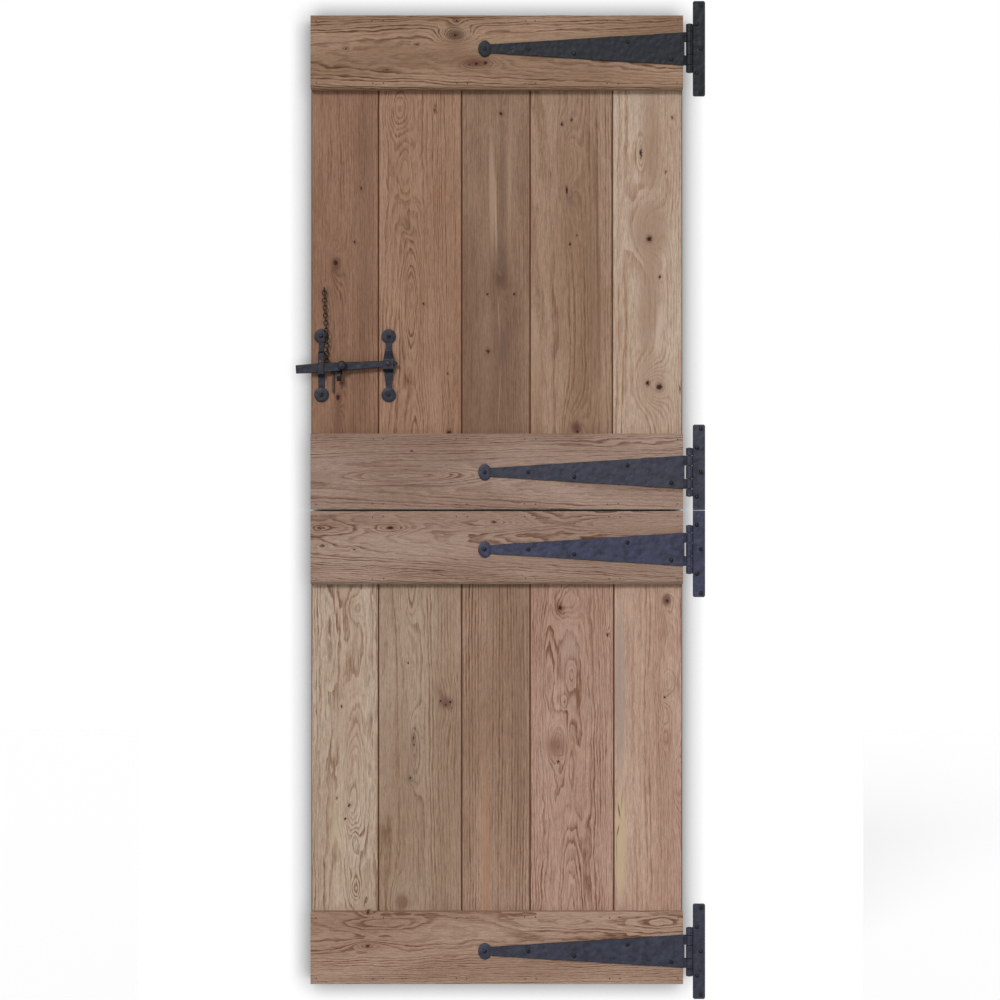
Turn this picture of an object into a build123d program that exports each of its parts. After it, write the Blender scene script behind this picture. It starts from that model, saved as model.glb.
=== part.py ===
from build123d import *
import math
import os

# A dutch stable door: two leaves of vertical boards on ledges, hung one above the other
# on long tee hinges, with a thumb latch, its lock peg and its chain on the upper leaf.
# Millimetres. X runs to the right as seen from the ledged side, Y from the ledged side
# to the boarded side, and Z up. The origin is the middle screw hole of the bottom frame
# plate, on the plane of the plate's back.

# Leaves
LEAF_WIDTH = 762.0
UPPER_LEAF_HEIGHT = 1010.0
LOWER_LEAF_HEIGHT = 967.0
LEAF_GAP = 4.0

# Boards, from the latch side; the last board of a leaf takes what is left of its width
BOARD_THICKNESS = 22.0
UPPER_BOARD_WIDTHS = (138.0, 171.0, 140.5, 169.0)
LOWER_BOARD_WIDTHS = (138.0, 171.0, 140.5, 172.0)
BOARD_GAP = 0.4
TONGUE_LENGTH = 7.0
TONGUE_THICKNESS = 7.0
TONGUE_CLEARANCE = 0.4
JOINT_ARRIS = 1.6

# Ledges
LEDGE_THICKNESS = 22.0
TOP_LEDGE_HEIGHT = 150.0
UPPER_MEETING_LEDGE_HEIGHT = 155.0
LOWER_MEETING_LEDGE_HEIGHT = 149.0
BOTTOM_LEDGE_HEIGHT = 147.0
LEDGE_CHAMFER = 5.0

# Tee hinges: where each pair stands on its leaf
TOP_HINGE_DROP = 68.5
UPPER_MIDDLE_HINGE_RISE = 75.7
LOWER_MIDDLE_HINGE_DROP = 78.0
BOTTOM_HINGE_RISE = 67.5
AXIS_TO_LEAF = 12.4

# Tee hinges: the rolled barrel and its pin
HINGE_THICKNESS = 3.5
PIN_DIAMETER = 6.9
PIN_CLEARANCE = 0.05
PIN_PROUD = 0.8
MIDDLE_KNUCKLE = 26.4
STRAP_KNUCKLE = 20.4
END_KNUCKLE = 15.0
KNUCKLE_GAP = 0.4
ROLL_SWEEP = 292.0
ROLL_FACETS = 12

# Tee hinges: the long strap on the leaf
STRAP_SHOULDER = 12.0
STRAP_REACH = 418.0
PENNY_LENGTH = 27.0
PENNY_HEIGHT = 33.5
NECK_INSET = 11.0
NECK_WIDTH = 18.0
FORGED_ARRIS = 0.8
STRAP_HOLE_DIAMETER = 5.2
STRAP_SCREWS = ((329.0, 0.0), (235.0, -10.0), (126.0, 14.0), (36.5, -22.0))

# Tee hinges: the cross plate on the frame
PLATE_WIDTH = 25.0
PLATE_LENGTH = 195.0
PLATE_CLEARANCE = 0.4
PLATE_CORNER = 2.5
PLATE_BUTT_GAP = 0.6
PLATE_HOLE_DIAMETER = 5.2
HOLE_ROW_SPACING = 89.0
HOLE_PAIR_SPACING = 100.0
HOLE_STAGGER = 4.0

# Screws of the hinges and the latch, with faceted domed heads
SCREW_SIDES = 6
SCREW_HEAD_DIAMETER = 8.6
SCREW_HEAD_HEIGHT = 2.4
SCREW_HEAD_CORNER = 1.4
SCREW_DIAMETER = 4.5
SCREW_LENGTH = 19.0
SCREW_CLEARANCE = 0.05

# Latch bar
LATCH_RISE = 298.0
PIVOT_INSET = 159.0
BAR_TILT = 3.5
BAR_THICKNESS = 6.0
BAR_STANDOFF = 11.0
BAR_REACH = 190.0
BAR_HEIGHT_AT_PIVOT = 13.0
BAR_HEIGHT_AT_GUIDE = 19.5
BAR_HEIGHT_AT_TIP = 18.0
BAR_TAIL = 20.5
BAR_TAIL_SHOULDER = 10.0
BAR_TAIL_NOSE = 3.0
BAR_CLEARANCE = 0.5
PIVOT_DIAMETER = 7.0
PIVOT_CLEARANCE = 0.06
PIVOT_HEAD_DIAMETER = 12.0
PIVOT_HEAD_HEIGHT = 2.0
PIVOT_HEAD_CORNER = 1.4
RIVET_SIDES = 10

# Knob on the latch bar
KNOB_INSET = 95.0
KNOB_LIFT = 2.2
KNOB_DIAMETER = 19.0
KNOB_NECK_DIAMETER = 9.0
KNOB_NECK_LENGTH = 4.0
KNOB_LENGTH = 11.5
KNOB_FLARE = 3.5
KNOB_CROWN = 5.0
KNOB_SIDES = 12

# Guide and pivot plates of the latch
LATCH_PLATE_THICKNESS = 3.0
LATCH_PENNY_DIAMETER = 30.0
GUIDE_INSET = 21.0
GUIDE_PENNY_ABOVE = 57.0
GUIDE_PENNY_BELOW = 63.0
GUIDE_WIDTH = 12.0
GUIDE_FOOT_WIDTH = 14.0
GUIDE_HEADROOM = 17.0
PIVOT_PLATE_NECK = 13.0
PIVOT_PLATE_WAIST = 21.0
PIVOT_PLATE_FOOT = 11.0
PIVOT_PLATE_RAMP = 17.0
BOW_SLOPE = 4.0
LOCK_HOLE_DIAMETER = 5.6

# Thumb lever through the leaf
LEVER_INSET = 58.0
LEVER_WIDTH = 9.0
LEVER_THICKNESS = 5.0
LEVER_GAP = 0.3
LEVER_TRAVEL = 13.0
LEVER_SIDE_CLEARANCE = 0.6
SCROLL_RADIUS = 10.0
SCROLL_SWEEP = 265.0
THUMB_REACH = 34.0
THUMB_DIAMETER = 34.0
THUMB_DISH_RADIUS = 46.0
LEVER_BOSS_DIAMETER = 10.0
LEVER_PIN_DIAMETER = 4.0
LEVER_PIN_CLEARANCE = 0.06

# Pull handle on the boarded side
HANDLE_THICKNESS = 4.0
HANDLE_TOP_DIAMETER = 50.0
HANDLE_FOOT_DIAMETER = 36.0
HANDLE_DROP = 168.0
GRIP_DIAMETER = 13.0
GRIP_SIDES = 8
GRIP_STANDOFF = 40.0
GRIP_TOP_DROP = 18.0
GRIP_FOOT_RISE = 9.0
GRIP_SLANT = 14.0
GRIP_BEND = 22.0
GRIP_BEND_FACETS = 4
HANDLE_SCREW_SPACING = 32.0
HANDLE_FOOT_SCREW_DROP = 7.0
EAR_THICKNESS = 3.0
EAR_HEIGHT = 11.0
EAR_REACH = 5.0

# Lock peg, its chain and the staple that holds them
STAPLE_INSET = 26.9
STAPLE_ABOVE = 152.4
STAPLE_WIRE = 2.4
STAPLE_LEG_SPACING = 8.0
STAPLE_DEPTH = 14.0
LINK_WIRE = 2.0
LINK_LENGTH = 12.1
LINK_WIDTH = 10.0
LINK_CORNER = 2.8
LINK_SLACK = 0.35
LINK_COUNT = 22
CHAIN_CLEARANCE = 0.4
CHAIN_DRIFT = 21.5
CHAIN_BEND = 30.0
PEG_DIAMETER = 4.7
PEG_LENGTH = 38.0
PEG_EYE_DIAMETER = 7.4
PEG_EYE_THICKNESS = 2.0
PEG_HOLE_DIAMETER = 3.4
PEG_SIDES = 12

# Places that follow from the sizes above
BARREL_RADIUS = PIN_DIAMETER / 2 + PIN_CLEARANCE + HINGE_THICKNESS
PLATE_SHOULDER = BARREL_RADIUS + PLATE_CLEARANCE
AXIS_X = -(PLATE_SHOULDER + PLATE_WIDTH / 2 + HOLE_STAGGER)
AXIS_Y = -BARREL_RADIUS
LEAF_RIGHT = AXIS_X - AXIS_TO_LEAF
LEAF_LEFT = LEAF_RIGHT - LEAF_WIDTH
BOARD_FACE = LEDGE_THICKNESS
BOARD_BACK = BOARD_FACE + BOARD_THICKNESS
LOWER_BOTTOM = -BOTTOM_HINGE_RISE
LOWER_TOP = LOWER_BOTTOM + LOWER_LEAF_HEIGHT
UPPER_BOTTOM = LOWER_TOP + LEAF_GAP
UPPER_TOP = UPPER_BOTTOM + UPPER_LEAF_HEIGHT
SPLIT = (LOWER_TOP + UPPER_BOTTOM) / 2
HINGE_HEIGHTS = {
    "top": UPPER_TOP - TOP_HINGE_DROP,
    "upper_middle": UPPER_BOTTOM + UPPER_MIDDLE_HINGE_RISE,
    "lower_middle": LOWER_TOP - LOWER_MIDDLE_HINGE_DROP,
    "bottom": 0.0,
}
STRAP_KNUCKLE_START = MIDDLE_KNUCKLE / 2 + KNUCKLE_GAP
STRAP_WIDTH = 2 * (STRAP_KNUCKLE_START + STRAP_KNUCKLE)
END_KNUCKLE_START = STRAP_WIDTH / 2 + KNUCKLE_GAP
BARREL_HALF = END_KNUCKLE_START + END_KNUCKLE

PIVOT_X = LEAF_LEFT + PIVOT_INSET
PIVOT_Z = UPPER_BOTTOM + LATCH_RISE
BAR_BACK = BOARD_FACE - BAR_STANDOFF
BAR_FRONT = BAR_BACK - BAR_THICKNESS
GUIDE_X = LEAF_LEFT + GUIDE_INSET
GUIDE_REACH = PIVOT_INSET - GUIDE_INSET
LEVER_X = LEAF_LEFT + LEVER_INSET
LEVER_REACH = PIVOT_INSET - LEVER_INSET
EAR_FACE = BOARD_BACK + HANDLE_THICKNESS
LEVER_AXIS_Y = EAR_FACE + EAR_REACH


def seen_from_front(outline, back, depth):
    """A piece with its outline in X and Z, its back at Y = back, thick towards the viewer."""
    return extrude(Plane.XZ.offset(-back) * outline, depth)


def seen_from_side(outline, left, width):
    """A piece with its outline in Y and Z, from X = left to the right."""
    return extrude(Plane.YZ.offset(left) * outline, width)


def disc(x, z, diameter, back, depth):
    """A round piece or hole whose axis runs along Y."""
    return seen_from_front(Pos(x, z) * Circle(diameter / 2), back, depth)


def small_round(x, z, diameter, back, depth, sides=SCREW_SIDES):
    """A small peg or hole of few sides whose axis runs along Y."""
    return seen_from_front(Pos(x, z) * RegularPolygon(diameter / 2, sides), back, depth)


def small_head(x, z, diameter, back, height, corner, sides=SCREW_SIDES):
    """A small head of few sides, its front rim chamfered."""
    head = small_round(x, z, diameter, back, height, sides)
    return chamfer(head.faces().sort_by(Axis.Y)[0].edges(), corner)


def face_of(*points):
    """A flat face with straight sides through the points."""
    return make_face(Polyline(*points, close=True))


def place(piece, spots):
    """The same small piece at each (x, y, z)."""
    return [Pos(*spot) * piece for spot in spots]


def group(solids):
    """Like pieces that share one node and stay separate solids."""
    return Compound(children=list(solids))


def board_joints(widths):
    """The X of the joints between the boards of a leaf, with its two edges."""
    joints = [LEAF_LEFT]
    for width in widths:
        joints.append(joints[-1] + width)
    return joints + [LEAF_RIGHT]


def board(left, right, bottom, top, grooved, tongued):
    """One board: a groove on its left side, a tongue on its right side, small arrises."""
    middle = (BOARD_FACE + BOARD_BACK) / 2
    tongue = TONGUE_THICKNESS / 2
    groove = tongue + TONGUE_CLEARANCE
    start = left + BOARD_GAP / 2 if grooved else left
    stop = right - BOARD_GAP / 2 if tongued else right
    depth = start + TONGUE_LENGTH + TONGUE_CLEARANCE
    points = [(start + JOINT_ARRIS, BOARD_BACK), (start, BOARD_BACK - JOINT_ARRIS)]
    if grooved:
        points += [(start, middle + groove), (depth, middle + groove)]
        points += [(depth, middle - groove), (start, middle - groove)]
    points += [(start, BOARD_FACE + JOINT_ARRIS), (start + JOINT_ARRIS, BOARD_FACE)]
    points += [(stop - JOINT_ARRIS, BOARD_FACE), (stop, BOARD_FACE + JOINT_ARRIS)]
    if tongued:
        points += [(stop, middle - tongue), (stop + TONGUE_LENGTH, middle - tongue)]
        points += [(stop + TONGUE_LENGTH, middle + tongue), (stop, middle + tongue)]
    points += [(stop, BOARD_BACK - JOINT_ARRIS), (stop - JOINT_ARRIS, BOARD_BACK)]
    return Pos(0, 0, bottom) * extrude(face_of(*points), top - bottom)


def leaf_boards(widths, bottom, top):
    """The row of boards of one leaf."""
    joints = board_joints(widths)
    last = len(joints) - 2
    boards = []
    for index in range(last + 1):
        left, right = joints[index], joints[index + 1]
        boards.append(board(left, right, bottom, top, index > 0, index < last))
    return boards


def ledge(bottom, height, chamfer_on_top):
    """A plain rail across the boards, its front edge chamfered towards the open field."""
    top = bottom + height
    points = [(BOARD_FACE, bottom), (BOARD_FACE, top)]
    if chamfer_on_top:
        points += [(LEDGE_CHAMFER, top), (0, top - LEDGE_CHAMFER), (0, bottom)]
    else:
        points += [(0, top), (0, bottom + LEDGE_CHAMFER), (LEDGE_CHAMFER, bottom)]
    return seen_from_side(face_of(*points), LEAF_LEFT, LEAF_WIDTH)


def screw():
    """A screw whose domed head bears on Y = 0 and whose shank goes inwards."""
    head = small_head(0, 0, SCREW_HEAD_DIAMETER, 0, SCREW_HEAD_HEIGHT, SCREW_HEAD_CORNER)
    return head + small_round(0, 0, SCREW_DIAMETER, SCREW_LENGTH, SCREW_LENGTH)


def screw_hole(plate_thickness):
    """The hole for a screw in the wood behind a plate of this thickness."""
    length = SCREW_LENGTH - plate_thickness + SCREW_CLEARANCE
    return small_round(0, 0, SCREW_DIAMETER + 2 * SCREW_CLEARANCE, length, length)


def strap_screw_spots():
    """Where the strap's screws stand, from the middle of its barrel."""
    return [(-STRAP_REACH, 0.0)] + [(-distance, rise) for distance, rise in STRAP_SCREWS]


def around_axis(radius, side):
    """Points along a roll, from the plate's back round the hinge axis."""
    step = math.radians(ROLL_SWEEP / ROLL_FACETS)
    angles = [math.pi / 2 + side * index * step for index in range(ROLL_FACETS + 1)]
    return [(radius * math.cos(angle), AXIS_Y + radius * math.sin(angle)) for angle in angles]


def knuckle(bottom, top, side, shoulder):
    """A tongue of the sheet rolled once round the pin; side is -1 for one coming from the left."""
    half_facet = math.radians(ROLL_SWEEP / ROLL_FACETS / 2)
    bore = (PIN_DIAMETER / 2 + PIN_CLEARANCE) / math.cos(half_facet)
    roll = face_of(*around_axis(BARREL_RADIUS, side), *reversed(around_axis(bore, side)))
    tongue = face_of((0, 0), (side * shoulder, 0), (side * shoulder, -HINGE_THICKNESS),
                     (0, -HINGE_THICKNESS))
    return Pos(0, 0, bottom) * extrude(roll + tongue, top - bottom)


def strap():
    """The long strap: a taper to a penny end, with two rolled knuckles."""
    neck = STRAP_REACH - NECK_INSET
    taper = face_of(
        (-STRAP_SHOULDER, STRAP_WIDTH / 2), (-neck, NECK_WIDTH / 2),
        (-STRAP_REACH, NECK_WIDTH / 2), (-STRAP_REACH, -NECK_WIDTH / 2),
        (-neck, -NECK_WIDTH / 2), (-STRAP_SHOULDER, -STRAP_WIDTH / 2))
    penny = Pos(-STRAP_REACH, 0) * Ellipse(PENNY_LENGTH / 2, PENNY_HEIGHT / 2)
    body = seen_from_front(taper + penny, 0, HINGE_THICKNESS)
    rim = body.faces().sort_by(Axis.Y)[0].edges().sort_by(Axis.X)
    body = chamfer(rim[:-1], FORGED_ARRIS)
    for x, z in strap_screw_spots():
        body -= small_round(x, z, STRAP_HOLE_DIAMETER, 0, HINGE_THICKNESS)
    low, high = STRAP_KNUCKLE_START, STRAP_KNUCKLE_START + STRAP_KNUCKLE
    body += knuckle(low, high, -1, STRAP_SHOULDER)
    body += knuckle(-high, -low, -1, STRAP_SHOULDER)
    return body


def plate_hole_spots():
    """The five holes of a frame plate: a row of three and a pair, staggered."""
    middle = PLATE_SHOULDER + PLATE_WIDTH / 2
    row = [(middle + HOLE_STAGGER, step * HOLE_ROW_SPACING) for step in (-1, 0, 1)]
    pair = [(middle - HOLE_STAGGER, side * HOLE_PAIR_SPACING / 2) for side in (-1, 1)]
    return row + pair


def frame_plate(height):
    """The cross plate with three rolled knuckles and its holes, cut off at the split."""
    middle = PLATE_SHOULDER + PLATE_WIDTH / 2
    outline = Pos(middle, 0) * Rectangle(PLATE_WIDTH, PLATE_LENGTH)
    outline = chamfer(outline.vertices(), PLATE_CORNER)
    body = seen_from_front(outline, 0, HINGE_THICKNESS)
    body = chamfer(body.faces().sort_by(Axis.Y)[0].edges(), FORGED_ARRIS)
    for x, z in plate_hole_spots():
        body -= disc(x, z, PLATE_HOLE_DIAMETER, 0, HINGE_THICKNESS)
    for low, high in ((-MIDDLE_KNUCKLE / 2, MIDDLE_KNUCKLE / 2),
                      (END_KNUCKLE_START, BARREL_HALF), (-BARREL_HALF, -END_KNUCKLE_START)):
        body += knuckle(low, high, 1, PLATE_SHOULDER + PLATE_CORNER)
    body = Pos(AXIS_X, 0, height) * body
    reach = abs(height - SPLIT) - PLATE_BUTT_GAP / 2
    if reach < PLATE_LENGTH / 2:
        away = 1 if height > SPLIT else -1
        kept = Box(4 * PLATE_WIDTH + 4 * BARREL_RADIUS, 8 * BARREL_RADIUS, PLATE_LENGTH)
        body &= Pos(AXIS_X, 0, height + away * (PLATE_LENGTH / 2 - reach)) * kept
    return body


def hinge_pin():
    """The pin through the five knuckles, standing a little proud at both ends."""
    return Cylinder(PIN_DIAMETER / 2, 2 * (BARREL_HALF + PIN_PROUD))


def bar_height(distance):
    """The latch bar's height at a distance to the left of its pivot."""
    if distance > GUIDE_REACH:
        share = (distance - GUIDE_REACH) / (BAR_REACH - GUIDE_REACH)
        return BAR_HEIGHT_AT_GUIDE + share * (BAR_HEIGHT_AT_TIP - BAR_HEIGHT_AT_GUIDE)
    share = distance / GUIDE_REACH
    return BAR_HEIGHT_AT_PIVOT + share * (BAR_HEIGHT_AT_GUIDE - BAR_HEIGHT_AT_PIVOT)


def bar_edge(distance, side):
    """The Z of the bar's upper (1) or lower (-1) edge at rest, left of its pivot."""
    drop = distance * math.tan(math.radians(BAR_TILT))
    half = bar_height(distance) / 2 / math.cos(math.radians(BAR_TILT))
    return PIVOT_Z - drop + side * half


def on_bar(piece):
    """A piece drawn about the pivot with the bar level, turned and moved to its rest."""
    return Pos(PIVOT_X, 0, PIVOT_Z) * Rot(0, -BAR_TILT, 0) * piece


def latch_bar():
    """The lift bar: tapered to its pivot, with a short pointed tail behind it."""
    tip, guide, heel = BAR_HEIGHT_AT_TIP / 2, BAR_HEIGHT_AT_GUIDE / 2, BAR_HEIGHT_AT_PIVOT / 2
    outline = face_of(
        (-BAR_REACH, tip), (-GUIDE_REACH, guide), (0, heel), (BAR_TAIL_SHOULDER, heel),
        (BAR_TAIL, 0), (BAR_TAIL_SHOULDER, -heel), (0, -heel), (-GUIDE_REACH, -guide),
        (-BAR_REACH, -tip))
    nose = outline.vertices().sort_by(Axis.X)[-1]
    outline = fillet(nose, BAR_TAIL_NOSE)
    body = seen_from_front(outline, BAR_BACK, BAR_THICKNESS)
    body = chamfer(body.faces().sort_by(Axis.Y)[0].edges(), FORGED_ARRIS)
    bore = PIVOT_DIAMETER + 2 * PIVOT_CLEARANCE
    body -= disc(0, 0, bore, BAR_BACK, BAR_THICKNESS)
    return on_bar(body)


def latch_knob():
    """The knob riveted to the face of the bar: a neck that flares to a rim, and a low crown."""
    neck = small_round(0, 0, KNOB_NECK_DIAMETER, 0, KNOB_NECK_LENGTH, KNOB_SIDES)
    head = small_head(0, 0, KNOB_DIAMETER, -KNOB_NECK_LENGTH, KNOB_LENGTH, KNOB_CROWN, KNOB_SIDES)
    head = chamfer(head.faces().sort_by(Axis.Y)[-1].edges(), KNOB_FLARE)
    return on_bar(Pos(-KNOB_INSET, BAR_FRONT, KNOB_LIFT) * (neck + head))


def raised_band(low_end, low_foot, low, high, high_foot, high_end, inside):
    """The side view of a plate that lies on the boards and stands off over the bar."""
    thick = LATCH_PLATE_THICKNESS
    return face_of(
        (BOARD_FACE, low_end), (BOARD_FACE, low_foot), (inside, low), (inside, high),
        (BOARD_FACE, high_foot), (BOARD_FACE, high_end), (BOARD_FACE - thick, high_end),
        (BOARD_FACE - thick, high_foot + thick), (inside - thick, high + thick),
        (inside - thick, low - thick), (BOARD_FACE - thick, low_foot - thick),
        (BOARD_FACE - thick, low_end))


def penny_plate(x, above, below, stem, band):
    """A forged plate with a penny at each end, cut to its outline and bent to its band."""
    pennies = [Pos(x, above) * Circle(LATCH_PENNY_DIAMETER / 2),
               Pos(x, below) * Circle(LATCH_PENNY_DIAMETER / 2)]
    outline = stem + pennies[0] + pennies[1]
    sheet = seen_from_front(outline, BOARD_FACE, BAR_STANDOFF * 2.5)
    side = seen_from_side(band, x - LATCH_PENNY_DIAMETER, 2 * LATCH_PENNY_DIAMETER)
    plate = sheet & side
    for height in (above, below):
        plate -= small_round(x, height, STRAP_HOLE_DIAMETER, BOARD_FACE, LATCH_PLATE_THICKNESS)
    return plate


def guide_bow():
    """The lowest and highest Z inside the guide's bow."""
    low = bar_edge(GUIDE_REACH + GUIDE_WIDTH / 2, -1) - BAR_CLEARANCE
    high = bar_edge(GUIDE_REACH - GUIDE_WIDTH / 2, 1) + GUIDE_HEADROOM
    return low, high


def guide_penny_heights():
    """The Z of the guide's upper and lower penny."""
    return PIVOT_Z + GUIDE_PENNY_ABOVE, PIVOT_Z - GUIDE_PENNY_BELOW


def latch_guide():
    """The guide on the leaf's edge: the bar rests in its bow, with the lock hole above."""
    above, below = guide_penny_heights()
    low, high = guide_bow()
    inside = BAR_FRONT - 2 * BAR_CLEARANCE
    half, foot = GUIDE_WIDTH / 2, GUIDE_FOOT_WIDTH / 2
    turn = low - BOW_SLOPE - LATCH_PLATE_THICKNESS
    stem = face_of((GUIDE_X - half, above), (GUIDE_X + half, above), (GUIDE_X + half, turn),
                   (GUIDE_X + foot, turn), (GUIDE_X + half, below), (GUIDE_X - half, below),
                   (GUIDE_X - foot, turn), (GUIDE_X - half, turn))
    band = raised_band(below - LATCH_PENNY_DIAMETER, low - BOW_SLOPE, low, high,
                       high + BOW_SLOPE, above + LATCH_PENNY_DIAMETER, inside)
    plate = penny_plate(GUIDE_X, above, below, stem, band)
    lock_height = bar_edge(GUIDE_REACH, 1) + BAR_CLEARANCE + LOCK_HOLE_DIAMETER / 2
    return plate - disc(GUIDE_X, lock_height, LOCK_HOLE_DIAMETER, inside + 1,
                        LATCH_PLATE_THICKNESS + 2)


def pivot_plate():
    """The plate over the bar's pivot: it rises in a long ramp and drops below the bar."""
    above, below = guide_penny_heights()
    swing = BAR_HEIGHT_AT_PIVOT / 2 + PIVOT_PLATE_WAIST / 2 * math.tan(math.radians(2 * BAR_TILT))
    low, high = PIVOT_Z - swing - 2 * BAR_CLEARANCE, PIVOT_Z + swing + 2 * BAR_CLEARANCE
    neck, waist = PIVOT_PLATE_NECK / 2, PIVOT_PLATE_WAIST / 2
    foot = PIVOT_PLATE_FOOT / 2
    turn = low - LATCH_PLATE_THICKNESS
    stem = face_of(
        (PIVOT_X - neck, above), (PIVOT_X + neck, above), (PIVOT_X + waist, high),
        (PIVOT_X + waist, turn), (PIVOT_X + foot, below), (PIVOT_X - foot, below),
        (PIVOT_X - waist, turn), (PIVOT_X - waist, high))
    band = raised_band(below - LATCH_PENNY_DIAMETER, low - BOW_SLOPE, low, high,
                       high + PIVOT_PLATE_RAMP, above + LATCH_PENNY_DIAMETER,
                       BAR_FRONT - BAR_CLEARANCE)
    plate = penny_plate(PIVOT_X, above, below, stem, band)
    bore = PIVOT_DIAMETER + 2 * PIVOT_CLEARANCE
    return plate - disc(PIVOT_X, PIVOT_Z, bore, BAR_FRONT, BAR_THICKNESS)


def pivot_rivet():
    """The rivet that carries the bar, with a hammered head before the plate and behind the bar."""
    face = BAR_FRONT - BAR_CLEARANCE - LATCH_PLATE_THICKNESS
    back = BAR_BACK + BAR_CLEARANCE
    front_head = small_head(PIVOT_X, PIVOT_Z, PIVOT_HEAD_DIAMETER, face, PIVOT_HEAD_HEIGHT,
                            PIVOT_HEAD_CORNER, RIVET_SIDES)
    shank = disc(PIVOT_X, PIVOT_Z, PIVOT_DIAMETER, back, back - face)
    back_head = small_round(PIVOT_X, PIVOT_Z, PIVOT_HEAD_DIAMETER, back + PIVOT_HEAD_HEIGHT,
                            PIVOT_HEAD_HEIGHT, RIVET_SIDES)
    return front_head + shank + back_head


def lever_height():
    """The Z of the lever's middle line: its top lies just under the bar."""
    under = bar_edge(LEVER_REACH + LEVER_WIDTH / 2, -1)
    return under - LEVER_GAP - LEVER_THICKNESS / 2


def thumb_lever():
    """The lever: a dished thumb piece, a bored boss, a flat shank and a scrolled end."""
    middle = lever_height()
    half = LEVER_THICKNESS / 2
    scroll_y = BAR_FRONT - LEVER_THICKNESS
    scroll_z = middle + half - SCROLL_RADIUS
    thumb_y = LEVER_AXIS_Y + THUMB_REACH
    shank = face_of((scroll_y, middle - half), (scroll_y, middle + half),
                    (thumb_y, middle + half), (thumb_y, middle - half))
    outside = CenterArc((scroll_y, scroll_z), SCROLL_RADIUS, 90, SCROLL_SWEEP)
    inside = CenterArc((scroll_y, scroll_z), SCROLL_RADIUS - LEVER_THICKNESS, 90, SCROLL_SWEEP)
    start = Line(outside @ 0, inside @ 0)
    end = Line(outside @ 1, inside @ 1)
    scroll = make_face([outside, end, inside, start])
    boss = Pos(LEVER_AXIS_Y, middle) * Circle(LEVER_BOSS_DIAMETER / 2)
    body = seen_from_side(shank + scroll + boss, LEVER_X - LEVER_WIDTH / 2, LEVER_WIDTH)
    pad = Pos(LEVER_X, thumb_y, middle) * Cylinder(THUMB_DIAMETER / 2, LEVER_THICKNESS)
    body += pad
    dish_depth = LEVER_THICKNESS * 0.5
    dish = Rot(90, 0, 0) * Cylinder(THUMB_DISH_RADIUS, 2 * THUMB_DIAMETER)
    body -= Pos(LEVER_X, thumb_y + THUMB_DIAMETER / 2,
                middle + half - dish_depth + THUMB_DISH_RADIUS) * dish
    bore = LEVER_PIN_DIAMETER + 2 * LEVER_PIN_CLEARANCE
    eye = Plane.YZ.offset(LEVER_X - LEVER_WIDTH) * (Pos(LEVER_AXIS_Y, middle) * Circle(bore / 2))
    return body - extrude(eye, 2 * LEVER_WIDTH)


def ear_span():
    """Half the width between the handle's two ears."""
    return LEVER_WIDTH / 2 + LEVER_SIDE_CLEARANCE


def lever_pin():
    """The pin through the handle's ears on which the lever rocks."""
    half = ear_span() + EAR_THICKNESS
    section = Pos(LEVER_AXIS_Y, lever_height()) * Circle(LEVER_PIN_DIAMETER / 2)
    return seen_from_side(section, LEVER_X - half, 2 * half)


def lever_slot(y_near, y_far):
    """The slot the lever rocks in, tall enough for its travel at the near side."""
    middle = lever_height()
    half = LEVER_THICKNESS / 2 + LEVER_SIDE_CLEARANCE
    rise = (LEVER_AXIS_Y - y_near) * math.sin(math.radians(LEVER_TRAVEL))
    corner = LEVER_THICKNESS / 2 * math.sin(math.radians(LEVER_TRAVEL))
    top = middle + half + rise + corner
    bottom = middle - half - corner
    outline = face_of((y_near, bottom), (y_near, top), (y_far, top), (y_far, bottom))
    return seen_from_side(outline, LEVER_X - ear_span(), 2 * ear_span())


def handle_screw_spots():
    """The handle's screws: two beside the lever and one in the foot."""
    middle = lever_height()
    half = HANDLE_SCREW_SPACING / 2
    foot = middle - HANDLE_DROP - HANDLE_FOOT_SCREW_DROP
    return [(LEVER_X - half, middle), (LEVER_X + half, middle), (LEVER_X, foot)]


def faceted(path, facets):
    """The path with each of its bends made of straight facets."""
    points = [path @ 0]
    for edge in path.edges():
        steps = facets if edge.geom_type == GeomType.CIRCLE else 1
        points += [edge @ (step / steps) for step in range(1, steps + 1)]
    return Polyline(*points)


def handle_grip():
    """The bent bar of the handle, from its top round to its foot."""
    middle = lever_height()
    root = BOARD_BACK + HANDLE_THICKNESS / 2
    out = EAR_FACE + GRIP_STANDOFF
    high, low = middle - GRIP_TOP_DROP, middle - HANDLE_DROP + GRIP_FOOT_RISE
    bent = FilletPolyline(
        (LEVER_X, root, high), (LEVER_X, out, high - GRIP_SLANT),
        (LEVER_X, out, low + GRIP_SLANT), (LEVER_X, root, low), radius=GRIP_BEND)
    path = faceted(bent, GRIP_BEND_FACETS)
    section = Plane(origin=path @ 0, x_dir=(1, 0, 0), z_dir=path % 0)
    section *= RegularPolygon(GRIP_DIAMETER / 2, GRIP_SIDES, major_radius=False,
                              rotation=180 / GRIP_SIDES)
    grip = sweep(section, path=path, transition=Transition.RIGHT)
    behind = Pos(LEVER_X, BOARD_BACK - GRIP_DIAMETER, middle - HANDLE_DROP / 2) * \
        Box(2 * HANDLE_TOP_DIAMETER, 2 * GRIP_DIAMETER, 2 * HANDLE_DROP)
    return grip - behind


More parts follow.
